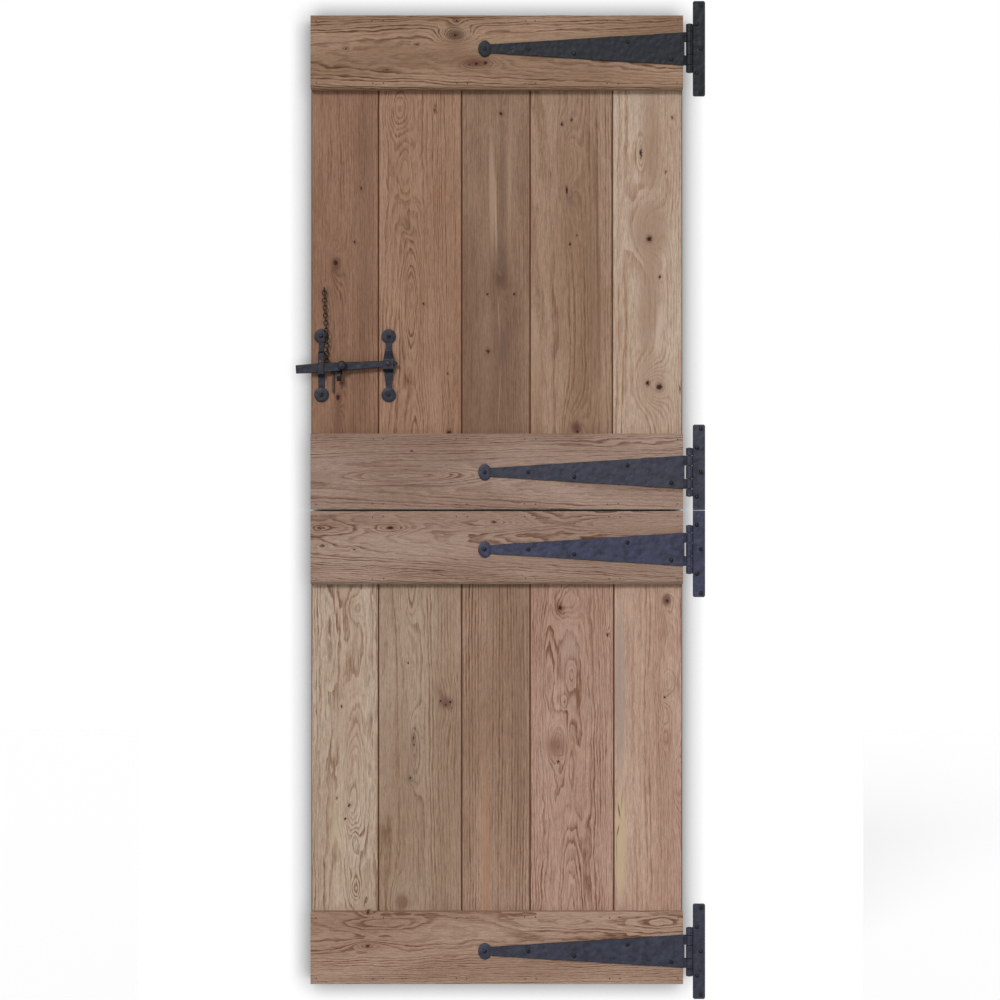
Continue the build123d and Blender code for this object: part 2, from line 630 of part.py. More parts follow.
def pull_handle():
    """The forged pull: a round top with the lever's ears, a bent grip and a round foot."""
    middle = lever_height()
    top = disc(LEVER_X, middle, HANDLE_TOP_DIAMETER, EAR_FACE, HANDLE_THICKNESS)
    foot = disc(LEVER_X, middle - HANDLE_DROP, HANDLE_FOOT_DIAMETER, EAR_FACE, HANDLE_THICKNESS)
    body = top + foot + handle_grip()
    profile = face_of((EAR_FACE, middle - EAR_HEIGHT / 2), (LEVER_AXIS_Y, middle - EAR_HEIGHT / 2),
                      (LEVER_AXIS_Y, middle + EAR_HEIGHT / 2), (EAR_FACE, middle + EAR_HEIGHT / 2))
    profile += Pos(LEVER_AXIS_Y, middle) * Circle(EAR_HEIGHT / 2)
    profile -= Pos(LEVER_AXIS_Y, middle) * Circle(LEVER_PIN_DIAMETER / 2 + LEVER_PIN_CLEARANCE)
    for left in (LEVER_X - ear_span() - EAR_THICKNESS, LEVER_X + ear_span()):
        body += seen_from_side(profile, left, EAR_THICKNESS)
    body -= lever_slot(BOARD_BACK, LEVER_AXIS_Y)
    for x, z in handle_screw_spots():
        body -= small_round(x, z, STRAP_HOLE_DIAMETER, EAR_FACE, HANDLE_THICKNESS)
    return body


def staple_place():
    """The X and Z of the middle of the chain's staple."""
    return LEAF_LEFT + STAPLE_INSET, PIVOT_Z + STAPLE_ABOVE


def staple_outline(half, crown, deep):
    """The side view of a staple's outside or inside, round at the crown."""
    legs = face_of((crown, -half), (deep, -half), (deep, half), (crown, half))
    return legs + Pos(crown, 0) * Circle(half)


def chain_staple():
    """The square wire staple, its legs one above the other in the board."""
    x, z = staple_place()
    crown = depth_over_penny() - LINK_WIRE / 2 - CHAIN_CLEARANCE
    deep = BOARD_FACE + STAPLE_DEPTH
    outside = staple_outline((STAPLE_LEG_SPACING + STAPLE_WIRE) / 2, crown, deep)
    inside = staple_outline((STAPLE_LEG_SPACING - STAPLE_WIRE) / 2, crown, deep)
    return seen_from_side(Pos(0, z) * (outside - inside), x - STAPLE_WIRE / 2, STAPLE_WIRE)


def staple_holes():
    """The two holes for the staple's legs."""
    x, z = staple_place()
    bore = STAPLE_WIRE + 2 * SCREW_CLEARANCE
    deep = BOARD_FACE + STAPLE_DEPTH + SCREW_CLEARANCE
    hole = seen_from_front(Rectangle(bore, bore), deep, deep - BOARD_FACE)
    half = STAPLE_LEG_SPACING / 2
    return [Pos(x, 0, z + side * half) * hole for side in (-1, 1)]


def depth_over_penny():
    """The Y of the chain's middle where it hangs over the guide's penny."""
    return BOARD_FACE - LATCH_PLATE_THICKNESS - CHAIN_CLEARANCE - LINK_WIDTH / 2


def chain_route():
    """The line the chain hangs along: over the guide's penny, past its bow, behind the bar."""
    x, z = staple_place()
    over_penny = depth_over_penny()
    behind_bar = BOARD_FACE - CHAIN_CLEARANCE - LINK_WIDTH / 2
    beside_bow = GUIDE_X + (GUIDE_WIDTH + LINK_WIDTH) / 2 + CHAIN_CLEARANCE
    penny_bottom = guide_penny_heights()[0] - LATCH_PENNY_DIAMETER / 2
    bow_top = guide_bow()[1] + BOW_SLOPE + LATCH_PLATE_THICKNESS
    bar_top = bar_edge(PIVOT_X - beside_bow, 1)
    below_bar = bar_edge(PIVOT_X - x - CHAIN_DRIFT, -1) - PEG_EYE_DIAMETER
    return FilletPolyline(
        (x, over_penny, z), (beside_bow, over_penny, penny_bottom),
        (beside_bow, behind_bar, bow_top), (beside_bow, behind_bar, bar_top),
        (x + CHAIN_DRIFT, behind_bar, below_bar), radius=CHAIN_BEND)


def cornered(width, length, corner):
    """A rectangle with its corners cut off."""
    return chamfer(Rectangle(width, length).vertices(), corner)


def chain_link():
    """One link about its own middle, long way up and facing the viewer."""
    inner_corner = LINK_CORNER - LINK_WIRE * (2 - math.sqrt(2))
    outside = cornered(LINK_WIDTH, LINK_LENGTH, LINK_CORNER)
    inside = cornered(LINK_WIDTH - 2 * LINK_WIRE, LINK_LENGTH - 2 * LINK_WIRE, inner_corner)
    return seen_from_front(outside - inside, LINK_WIRE / 2, LINK_WIRE)


def link_pitch():
    """From the middle of one link to the middle of the next."""
    return LINK_LENGTH - 2 * LINK_WIRE - LINK_SLACK


def first_link_distance():
    """From the staple's middle down to the middle of the first link."""
    lower_leg_top = STAPLE_LEG_SPACING / 2 - STAPLE_WIRE / 2
    return lower_leg_top - LINK_SLACK / 2 + LINK_LENGTH / 2 - LINK_WIRE


def link_location(index):
    """The place and lean of a link: even ones face the viewer, odd ones are edge on."""
    route = chain_route()
    distance = first_link_distance() + index * link_pitch()
    middle = route.position_at(distance, position_mode=PositionMode.LENGTH)
    along = route.tangent_at(distance, position_mode=PositionMode.LENGTH)
    lean = math.degrees(math.atan2(-along.X, -along.Z))
    pitch = math.degrees(math.asin(along.Y))
    return Pos(*middle) * Rot(0, lean, 0) * Rot(pitch, 0, 0) * Rot(0, 0, 90 * (index % 2))


def lock_chain():
    """The chain, link through link, from the staple to the peg."""
    link = chain_link()
    return group(link_location(index) * link for index in range(LINK_COUNT))


def peg_place():
    """The middle of the peg's eye, hung on the last link."""
    end = link_location(LINK_COUNT - 1) * Pos(0, 0, (LINK_WIRE - LINK_LENGTH) / 2)
    return end.position


def lock_peg():
    """The iron peg with a flat eye, that locks the bar when put through the guide's hole."""
    x, y, z = peg_place()
    top = z - PEG_HOLE_DIAMETER / 2 - LINK_WIRE / 2
    section = Pos(x, y, top) * RegularPolygon(PEG_DIAMETER / 2, PEG_SIDES)
    back = y + PEG_EYE_THICKNESS / 2
    eye = small_round(x, z, PEG_EYE_DIAMETER, back, PEG_EYE_THICKNESS, PEG_SIDES)
    hole = disc(x, z, PEG_HOLE_DIAMETER, back, PEG_EYE_THICKNESS)
    return extrude(section, -PEG_LENGTH) + eye - hole


def leaf_ledges():
    """Each leaf's two ledges: name, bottom, height and whether the chamfer is on top."""
    upper = [("top_ledge", UPPER_TOP - TOP_LEDGE_HEIGHT, TOP_LEDGE_HEIGHT, False),
             ("upper_meeting_ledge", UPPER_BOTTOM, UPPER_MEETING_LEDGE_HEIGHT, True)]
    lower = [("lower_meeting_ledge", LOWER_TOP - LOWER_MEETING_LEDGE_HEIGHT,
              LOWER_MEETING_LEDGE_HEIGHT, False),
             ("bottom_ledge", LOWER_BOTTOM, BOTTOM_LEDGE_HEIGHT, True)]
    return {"upper": upper, "lower": lower}


def latch_screw_spots():
    """The screws in the four pennies of the latch plates."""
    face = BOARD_FACE - LATCH_PLATE_THICKNESS
    return [(x, face, z) for x in (GUIDE_X, PIVOT_X) for z in guide_penny_heights()]


def latch_cuts():
    """What the latch needs cut in the boards: screw holes, staple holes and the slot."""
    cuts = []
    for x, _, z in latch_screw_spots():
        cuts.append(Pos(x, BOARD_FACE, z) * screw_hole(LATCH_PLATE_THICKNESS))
    for x, z in handle_screw_spots():
        hole = Pos(x, BOARD_BACK, z) * Rot(0, 0, 180) * screw_hole(HANDLE_THICKNESS)
        cuts.append(hole)
    cuts += staple_holes()
    cuts.append(lever_slot(BOARD_FACE, BOARD_BACK))
    return cuts


def touching(piece, cuts):
    """The cuts whose boxes meet the piece."""
    box = piece.bounding_box()
    near = []
    for cut in cuts:
        other = cut.bounding_box()
        apart = (other.max.X < box.min.X or other.min.X > box.max.X or
                 other.max.Z < box.min.Z or other.min.Z > box.max.Z)
        if not apart:
            near.append(cut)
    return near


def leaf(name, widths, bottom, top, ledges, cuts):
    """The boards and ledges of one leaf, with the cuts made in those they meet."""
    pieces = {}
    for index, plain in enumerate(leaf_boards(widths, bottom, top), start=1):
        pieces[f"{name}_board_{index}"] = plain - touching(plain, cuts)
    for ledge_name, ledge_bottom, height, chamfer_on_top in ledges:
        plain = ledge(ledge_bottom, height, chamfer_on_top)
        pieces[ledge_name] = plain - touching(plain, cuts)
    return pieces


def strap_holes(height):
    """The holes in a ledge behind one strap."""
    hole = screw_hole(HINGE_THICKNESS)
    return [Pos(AXIS_X + x, 0, height + z) * hole for x, z in strap_screw_spots()]


def strap_screws(heights):
    """The screws of the straps at the given heights."""
    spots = [(AXIS_X + x, -HINGE_THICKNESS, height + z)
             for height in heights for x, z in strap_screw_spots()]
    return group(place(screw(), spots))


def door():
    """Every piece of the door by its node name."""
    ledges = leaf_ledges()
    upper_hinges = (HINGE_HEIGHTS["top"], HINGE_HEIGHTS["upper_middle"])
    lower_hinges = (HINGE_HEIGHTS["lower_middle"], HINGE_HEIGHTS["bottom"])
    upper_cuts = latch_cuts() + strap_holes(upper_hinges[0]) + strap_holes(upper_hinges[1])
    lower_cuts = strap_holes(lower_hinges[0]) + strap_holes(lower_hinges[1])
    pieces = leaf("upper", UPPER_BOARD_WIDTHS, UPPER_BOTTOM, UPPER_TOP, ledges["upper"], upper_cuts)
    pieces |= leaf("lower", LOWER_BOARD_WIDTHS, LOWER_BOTTOM, LOWER_TOP, ledges["lower"], lower_cuts)
    long_strap = strap()
    pin = hinge_pin()
    for name, height in HINGE_HEIGHTS.items():
        pieces[f"{name}_strap"] = Pos(AXIS_X, 0, height) * long_strap
        pieces[f"{name}_frame_plate"] = frame_plate(height)
        pieces[f"{name}_hinge_pin"] = Pos(AXIS_X, AXIS_Y, height) * pin
    pieces["upper_strap_screws"] = strap_screws(upper_hinges)
    pieces["lower_strap_screws"] = strap_screws(lower_hinges)
    pieces["latch_guide"] = latch_guide()
    pieces["pivot_plate"] = pivot_plate()
    pieces["pivot_rivet"] = pivot_rivet()
    pieces["latch_plate_screws"] = group(place(screw(), latch_screw_spots()))
    pieces["latch_bar"] = latch_bar()
    pieces["latch_knob"] = latch_knob()
    pieces["thumb_lever"] = thumb_lever()
    pieces["lever_pin"] = lever_pin()
    pieces["pull_handle"] = pull_handle()
    back_screw = Rot(0, 0, 180) * screw()
    pieces["handle_screws"] = group(place(back_screw, [(x, EAR_FACE, z)
                                                       for x, z in handle_screw_spots()]))
    pieces["chain_staple"] = chain_staple()
    pieces["lock_chain"] = lock_chain()
    pieces["lock_peg"] = lock_peg()
    return pieces


os.makedirs("parts", exist_ok=True)
for node, piece in door().items():
    export_step(piece, f"parts/{node}.step")
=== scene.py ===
import bmesh
import bpy
import itertools
import math
from mathutils import Matrix, Vector, geometry, noise


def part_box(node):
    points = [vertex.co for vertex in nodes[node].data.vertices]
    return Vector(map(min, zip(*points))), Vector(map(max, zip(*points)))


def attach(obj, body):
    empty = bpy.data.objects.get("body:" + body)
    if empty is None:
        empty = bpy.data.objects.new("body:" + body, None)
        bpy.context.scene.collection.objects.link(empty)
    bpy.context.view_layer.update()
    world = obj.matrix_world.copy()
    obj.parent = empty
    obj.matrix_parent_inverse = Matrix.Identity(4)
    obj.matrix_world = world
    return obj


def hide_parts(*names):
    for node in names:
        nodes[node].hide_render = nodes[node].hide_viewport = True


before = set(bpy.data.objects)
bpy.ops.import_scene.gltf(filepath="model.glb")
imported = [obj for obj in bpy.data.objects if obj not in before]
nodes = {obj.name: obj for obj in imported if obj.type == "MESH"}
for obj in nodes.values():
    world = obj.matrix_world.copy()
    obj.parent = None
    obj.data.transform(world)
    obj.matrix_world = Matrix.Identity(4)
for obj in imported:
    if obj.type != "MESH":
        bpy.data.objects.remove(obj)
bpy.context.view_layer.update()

# Studio: a pale floor under the door and a white board close behind it. The board's glow is
# dimmed where the door stands close before it, by ambient occlusion: a painted shadow that
# gives the soft halo around the leaves. The board is clear from behind, so that it doesn't
# hide the boarded side.
scene = bpy.context.scene
scene.view_settings.view_transform = "Standard"


class Amount:
    """A value that a shader works out at each spot, to reckon with as with a number."""

    def __init__(self, tree, socket):
        self.tree, self.socket = tree, socket

    def __add__(self, other):
        return reckon(self.tree, "ADD", self, other)

    def __sub__(self, other):
        return reckon(self.tree, "SUBTRACT", self, other)

    def __mul__(self, other):
        return reckon(self.tree, "MULTIPLY", self, other)

    def __truediv__(self, other):
        return reckon(self.tree, "DIVIDE", self, other)

    def __pow__(self, other):
        return reckon(self.tree, "POWER", self, other)


def put(tree, target, value):
    """Feeds a socket from a worked-out value, another socket or a plain number."""
    if isinstance(value, Amount):
        value = value.socket
    if isinstance(value, bpy.types.NodeSocket):
        tree.links.new(value, target)
    else:
        target.default_value = value


def reckon(tree, operation, *values, clamp=False):
    """Works out a sum, product or other plain reckoning of up to three values."""
    node = tree.nodes.new("ShaderNodeMath")
    node.operation = operation
    node.use_clamp = clamp
    for target, value in zip(node.inputs, values):
        put(tree, target, value)
    return Amount(tree, node.outputs[0])


def looked_at(tree):
    """One for the camera's rays, also by way of metal or glass, and zero for all others."""
    path = tree.nodes.new("ShaderNodeLightPath").outputs
    seen = reckon(tree, "MAXIMUM", path["Is Camera Ray"], path["Is Glossy Ray"])
    return reckon(tree, "MAXIMUM", seen, path["Is Transmission Ray"])


def studio_white(name, shade, glow, painted_shadow_reach=0.0):
    """A white that is clean where nothing shades it and keeps the door's shadow; given a reach,
    its glow is also dimmed near the door by ambient occlusion, a painted shadow.
    """
    material = bpy.data.materials.new(name)
    material.use_nodes = True
    tree = material.node_tree
    tree.nodes.clear()
    matt = tree.nodes.new("ShaderNodeBsdfDiffuse")
    put(tree, matt.inputs["Color"], (shade, shade, shade, 1))
    seen = looked_at(tree)
    if painted_shadow_reach:
        # Painted shadow: the glow is dimmed where ambient occlusion finds the door close by.
        painted_shadow_ao = tree.nodes.new("ShaderNodeAmbientOcclusion")
        put(tree, painted_shadow_ao.inputs["Distance"], painted_shadow_reach)
        seen = seen * Amount(tree, painted_shadow_ao.outputs["AO"]) ** 1.7
    light = tree.nodes.new("ShaderNodeEmission")
    put(tree, light.inputs["Strength"], seen * glow)
    both = tree.nodes.new("ShaderNodeAddShader")
    put(tree, both.inputs[0], matt.outputs[0])
    put(tree, both.inputs[1], light.outputs[0])
    choice = tree.nodes.new("ShaderNodeMixShader")
    put(tree, choice.inputs[0], tree.nodes.new("ShaderNodeNewGeometry").outputs["Backfacing"])
    put(tree, choice.inputs[1], both.outputs[0])
    put(tree, choice.inputs[2], tree.nodes.new("ShaderNodeBsdfTransparent").outputs[0])
    out = tree.nodes.new("ShaderNodeOutputMaterial")
    put(tree, out.inputs["Surface"], choice.outputs[0])
    return material


def studio_sheet(name, size, place, material):
    """A flat sheet of the studio."""
    form = bmesh.new()
    bmesh.ops.create_grid(form, x_segments=1, y_segments=1, size=0.5)
    bmesh.ops.scale(form, vec=(*size, 1), verts=form.verts)
    bmesh.ops.transform(form, matrix=place, verts=form.verts)
    mesh = bpy.data.meshes.new(name)
    form.to_mesh(mesh)
    form.free()
    mesh.materials.append(material)
    sheet = bpy.data.objects.new(name, mesh)
    scene.collection.objects.link(sheet)
    return sheet


middle_x = -0.41
studio_sheet("studio_floor", (14, 14), Matrix.Translation((middle_x, 0, -0.19)),
             studio_white("studio_floor_white", 0.62, 0.45))
board = studio_sheet(
    "studio_board", (1.5, 2.5),
    Matrix.Translation((middle_x, 0.052, 1.13)) @ Matrix.Rotation(math.pi / 2, 4, "X"),
    studio_white("studio_board_white", 0.0, 1.0, painted_shadow_reach=0.049))
board.visible_shadow = False
board.visible_diffuse = False

world = bpy.data.worlds.new("studio")
scene.world = world
world.use_nodes = True
sky = world.node_tree
sky.nodes.clear()
sky_light = sky.nodes.new("ShaderNodeBackground")
put(sky, sky_light.inputs["Color"], (1, 1, 1, 1))
put(sky, sky_light.inputs["Strength"], reckon(sky, "MAXIMUM", looked_at(sky), 0.48))
put(sky, sky.nodes.new("ShaderNodeOutputWorld").inputs["Surface"], sky_light.outputs[0])


def lamp(name, strength, spread, towards):
    """A broad, distant soft lamp shining along a direction."""
    light = bpy.data.lights.new(name, "SUN")
    light.energy = strength
    light.angle = math.radians(spread)
    holder = bpy.data.objects.new(name, light)
    holder.rotation_euler = Vector(towards).to_track_quat("-Z", "Y").to_euler()
    scene.collection.objects.link(holder)


lamp("key_lamp", 1.75, 16, (0.3, 1.0, -0.5))
lamp("back_lamp", 0.9, 20, (0.4, -1.0, -0.7))

camera_data = bpy.data.cameras.new("camera")
camera_data.lens = 90
camera_data.sensor_width = 36
camera = bpy.data.objects.new("camera", camera_data)
camera.location = (-0.4107, -5.113, 0.9225)
camera.rotation_euler = (math.pi / 2, 0, 0)
scene.collection.objects.link(camera)
scene.camera = camera

# Boards of the upper leaf: five planed and oiled oak boards, 22 mm thick, tongued and
# grooved, each from another plank, with its knots and figures where the photograph has them.
# Their places are millimetres across from the latch edge and up from the foot of the door.
latch_edge, door_foot = -798.3, -67.5


def paint(red, green, blue):
    """A colour as a paint card gives it, 0 to 255, in the light's own scale."""
    tones = [tone / 255 for tone in (red, green, blue)]
    tones = [tone / 12.92 if tone <= 0.04045 else ((tone + 0.055) / 1.055) ** 2.4
             for tone in tones]
    return (*tones, 1.0)


def blend_colours(tree, share, first, second, how="MIX"):
    """Goes from the first colour to the second as share goes from 0 to 1."""
    node = tree.nodes.new("ShaderNodeMix")
    node.data_type = "RGBA"
    node.blend_type = how
    put(tree, node.inputs["Factor"], share)
    put(tree, node.inputs["A"], first)
    put(tree, node.inputs["B"], second)
    return next(socket for socket in node.outputs if socket.type == "RGBA")


def new_group(name, takes, gives):
    """An empty shader group, its sockets named by kind."""
    kinds = {"value": "NodeSocketFloat", "place": "NodeSocketVector", "colour": "NodeSocketColor"}
    group = bpy.data.node_groups.new(name, "ShaderNodeTree")
    for way, sockets in (("INPUT", takes), ("OUTPUT", gives)):
        for kind, labels in sockets.items():
            for label in labels.split():
                group.interface.new_socket(name=label, in_out=way, socket_type=kinds[kind])
    entry = group.nodes.new("NodeGroupInput")
    leave = group.nodes.new("NodeGroupOutput")
    return group, entry.outputs, leave.inputs


def use_group(tree, group, **values):
    """A copy of the group in a material, fed with values named as its inputs."""
    node = tree.nodes.new("ShaderNodeGroup")
    node.node_tree = group
    for label, value in values.items():
        put(tree, node.inputs[label], value)
    return node.outputs


def parted(tree, place):
    """How far across, deep and up a place is."""
    node = tree.nodes.new("ShaderNodeSeparateXYZ")
    put(tree, node.inputs[0], place)
    return [Amount(tree, socket) for socket in node.outputs]


def joined(tree, *parts):
    """The place that is so far across, deep and up."""
    node = tree.nodes.new("ShaderNodeCombineXYZ")
    for target, part in zip(node.inputs, parts):
        put(tree, target, part)
    return node.outputs[0]


def scaled(tree, place, factors, shift=(0, 0, 0)):
    """The place stretched by its own factor in each direction, then shifted."""
    node = tree.nodes.new("ShaderNodeVectorMath")
    node.operation = "MULTIPLY_ADD"
    for target, value in zip(node.inputs, (place, factors, shift)):
        put(tree, target, value)
    return node.outputs[0]


def cloud(tree, place, detail=2.0, rough=0.5, part="Fac"):
    """A soft random value between about 0.2 and 0.8, or three as a colour."""
    node = tree.nodes.new("ShaderNodeTexNoise")
    for label, value in (("Scale", 1.0), ("Detail", detail), ("Roughness", rough),
                         ("Vector", place)):
        put(tree, node.inputs[label], value)
    return Amount(tree, node.outputs[part])


def span(tree, value, low, high, first=0.0, last=1.0):
    """Goes smoothly from first to last while the value goes from low to high."""
    node = tree.nodes.new("ShaderNodeMapRange")
    node.interpolation_type = "SMOOTHSTEP"
    for label, number in (("Value", value), ("From Min", low), ("From Max", high),
                          ("To Min", first), ("To Max", last)):
        put(tree, node.inputs[label], number)
    return Amount(tree, node.outputs["Result"])


def make_spot_group():
    """A soft oval spot on the wood, which bends the grain, darkens or lightens it."""
    group, given, found = new_group(
        "wood_spot", {"place": "Place", "value": "Across Along Wide Long Turn Edge"},
        {"value": "Spot"})
    across, _, up = parted(group, given["Place"])
    across, up = across - given["Across"], up - given["Along"]
    cosine, sine = (reckon(group, way, given["Turn"]) for way in ("COSINE", "SINE"))
    wide = (across * cosine + up * sine) / given["Wide"]
    tall = (up * cosine - across * sine) / given["Long"]
    far = reckon(group, "SQRT", wide * wide + tall * tall)
    put(group, found["Spot"], reckon(group, "EXPONENT", far ** given["Edge"] * -1.0))
    return group


def make_ring_group():
    """Counts the growth rings across the board, bent by slow waves and by the figures."""
    group, given, found = new_group(
        "wood_rings",
        {"place": "Place", "value": "Heart Slope Curve Taper Wave Ripple Figure Seed"},
        {"value": "Rings"})
    across, deep, up = parted(group, given["Place"])
    seed = joined(group, given["Seed"], given["Seed"], given["Seed"])
    moved = scaled(group, given["Place"], (1, 1, 1), seed)
    away = across - given["Heart"]
    slow = cloud(group, scaled(group, moved, (0.014, 0.014, 0.0022))) - 0.5
    quick = cloud(group, scaled(group, moved, (0.07, 0.05, 0.018))) - 0.5
    put(group, found["Rings"],
        away * given["Slope"] + away * away * given["Curve"] + up * given["Taper"] + deep * 0.07
        + slow * given["Wave"] + quick * given["Ripple"] + given["Figure"])
    return group


def make_oak_group():
    """Oak's look from its rings: dark late wood, fine fibres, open pores and slow tones."""
    group, given, found = new_group(
        "oak_surface",
        {"place": "Place", "value": "Rings Line Fibre Pores Fine", "colour": "Light Dark Tint"},
        {"colour": "Color", "value": "Roughness Height"})

    def grain(across, deep, along, *kind):
        """A cloud drawn out along the grain."""
        return cloud(group, scaled(group, given["Place"], (across, deep, along)), *kind)

    _, deep, up = parted(group, given["Place"])
    ring = reckon(group, "FRACT", given["Rings"])
    number = group.nodes.new("ShaderNodeTexWhiteNoise")
    number.noise_dimensions = "1D"
    put(group, number.inputs["W"], reckon(group, "FLOOR", given["Rings"]))
    late = (span(group, ring, 0.2, 0.82) * span(group, ring, 0.88, 1.0, 1.0, 0.0)
            * span(group, number.outputs["Value"], 0.0, 1.0, 0.3, 1.0)
            * span(group, grain(0.02, 0.02, 0.004), 0.3, 0.7, 0.5, 1.2)
            * span(group, grain(0.55, 0.55, 0.028, 2.0, 0.6), 0.36, 0.64, 0.5, 1.25))
    threads = joined(group, Amount(group, given["Rings"]) * given["Fine"], deep * 0.3, up * 0.018)
    fibre = cloud(group, threads, 3.0, 0.6) - 0.5 + (grain(0.3, 0.3, 0.008, 4.0, 0.7) - 0.5) * 1.5
    pore = span(group, grain(1.3, 1.3, 0.11, 1.0), 0.60, 0.74)
    dark = reckon(group, "ADD", late * given["Line"] + fibre * given["Fibre"],
                  pore * given["Pores"], clamp=True)
    tone = span(group, grain(0.012, 0.02, 0.0024), 0.3, 0.7)
    ground = blend_colours(group, tone, given["Light"], given["Tint"])
    colour = blend_colours(group, dark, ground, given["Dark"])
    fleck = span(group, grain(0.42, 0.42, 0.05, 3.0, 0.75), 0.28, 0.72, 0.84, 1.17)
    put(group, found["Color"], blend_colours(group, 1.0, colour, fleck, "MULTIPLY"))
    put(group, found["Roughness"], span(group, dark, 0.0, 1.0, 0.56, 0.7))
    put(group, found["Height"], dark * -0.6 - pore * 0.5)
    return group


wood_spot = make_spot_group()
wood_rings = make_ring_group()
oak_surface = make_oak_group()


def new_finish(name):
    """A new material, with its tree, its shader's sockets and the place on the piece."""
    material = bpy.data.materials.new(name)
    material.use_nodes = True
    tree = material.node_tree
    where = tree.nodes.new("ShaderNodeTexCoord").outputs["Object"]
    return material, tree, tree.nodes["Principled BSDF"].inputs, where


def emboss(tree, shader, height, strength, deep):
    """Raises and dents a finish: where its height is one, it stands deep metres proud."""
    bump = tree.nodes.new("ShaderNodeBump")
    for label, value in (("Height", height), ("Strength", strength), ("Distance", deep)):
        put(tree, bump.inputs[label], value)
    put(tree, shader["Normal"], bump.outputs["Normal"])


def coat(node, material):
    """Gives a solid of the door its finish."""
    nodes[node].data.materials.clear()
    nodes[node].data.materials.append(material)


def spot(tree, place, across, along, wide, long, turn=0, edge=2):
    """How far a place lies within a soft oval, turned by so many degrees."""
    return Amount(tree, use_group(tree, wood_spot, Place=place, Across=across, Along=along,
                                  Wide=wide, Long=long, Turn=math.radians(turn),
                                  Edge=edge)["Spot"])


def oak(node, body_colours, grain, figures=(), knots=(), stains=(), lying=False, sides=()):
    """Gives a board or ledge its own oak.

    body_colours are the light, dark and tint tones. grain is the heart's place across, the
    slope, curve and taper of the rings, their wave and ripple, the strength of the lines and
    how fine the fibres are. A figure is (across, along, wide, long, turn, rings), a knot
    (across, along, wide, long) and a stain (across, along, wide, long, turn, edge, colour,
    strength). A lying piece has its grain along the ledge, and gives up first, then across.
    sides are where a board meets its neighbours: the wood darkens towards the joint, partly dust
    and old wax and partly painted shade of the groove.
    """
    material, tree, shader, where = new_finish("oak_" + node)
    place = scaled(tree, where, (1000, 1000, 1000), (-latch_edge, 0, -door_foot))
    x, y, z = parted(tree, place)
    if lying:
        place = joined(tree, z, y, x)
    bends = hearts = darks = 0.0
    for *oval, rings in figures:
        bends = reckon(tree, "MULTIPLY_ADD", spot(tree, place, *oval), rings, bends)
    if knots:
        tear = 7
        ragged = cloud(tree, scaled(tree, place, (0.22, 0.22, 0.22)), part="Color")
        torn = scaled(tree, ragged, (tear, tear, tear), place)
    for across, along, wide, long in knots:
        bend = spot(tree, place, across, along, wide * 3.2, long * 5, edge=1.6)
        bends = reckon(tree, "MULTIPLY_ADD", bend, 1.2 + 0.35 * wide, bends)
        middle = across + tear / 2, along + tear / 2
        hearts = reckon(tree, "MAXIMUM", spot(tree, torn, *middle, wide * 1.9, long * 2.3), hearts)
        dark = spot(tree, torn, *middle, wide * 1.15, long * 1.15, edge=5)
        darks = reckon(tree, "MAXIMUM", dark, darks)
    heart, slope, curve, taper, wave, ripple, line, fine = grain
    rings = use_group(tree, wood_rings, Place=place, Heart=heart, Slope=slope, Curve=curve,
                      Taper=taper, Wave=wave, Ripple=ripple, Figure=bends,
                      Seed=float(sum(node.encode())))["Rings"]
    light, dark, tint = (paint(*tones) for tones in body_colours)
    look = use_group(tree, oak_surface, Place=place, Rings=rings, Light=light, Dark=dark,
                     Tint=tint, Line=line, Fibre=0.6 if lying else 0.9, Pores=0.35, Fine=fine)
    colour = look["Color"]
    for *oval, tones, strength in stains:
        share = spot(tree, place, *oval) * strength
        colour = blend_colours(tree, share, colour, paint(*tones))
    if knots:
        share = span(tree, hearts, 0.05, 0.75) * 0.5
        colour = blend_colours(tree, share, colour, paint(102, 64, 50))
        colour = blend_colours(tree, darks, colour, paint(44, 24, 20))
    # Darker towards the joints: partly dust and old wax, partly painted shade of the groove
    # between the boards.
    if sides:
        joint_dust_and_shade_reach = reckon(tree, "MINIMUM", x - sides[0], reckon(tree, "SUBTRACT", sides[1], x))
        colour = blend_colours(tree, span(tree, joint_dust_and_shade_reach, 0.8, 2.6, 0.85, 0.0), colour,
                               paint(92, 52, 28))
    put(tree, shader["Base Color"], colour)
    put(tree, shader["Roughness"], look["Roughness"])
    put(tree, shader["Specular IOR Level"], 0.12)
    emboss(tree, shader, reckon(tree, "SUBTRACT", look["Height"], darks), 0.5, 0.0006)
    coat(node, material)


oak("upper_board_1", ((148, 114, 93), (100, 65, 45), (130, 97, 77)),
    (40, 0.16, 0.0004, 0.001, 3, 1.2, 0.7, 3), sides=(0, 138),
    figures=[(50, 1477, 22, 60, 0, 3), (28, 1573, 12, 50, -14, 2.2), (56, 1199, 12, 34, 0, 2.6),
             (103, 1630, 8, 26, 0, 1.2)],
    knots=[(50, 1477, 4.2, 5.5), (103, 1630, 1.9, 3), (89, 1520, 1.8, 2.2), (55, 1201, 3.4, 5.4)],
    stains=[(113, 1501, 20, 400, 0, 3, (108, 78, 60), 0.35),
            (51, 1469, 10, 20, 0, 2, (84, 56, 46), 0.65),
            (56, 1166, 9, 60, -4, 2, (98, 66, 54), 0.5),
            (85, 1143, 5, 30, 0, 2, (104, 70, 56), 0.4),
            (55, 1201, 1.9, 2.8, 0, 3, (150, 122, 104), 0.85)])
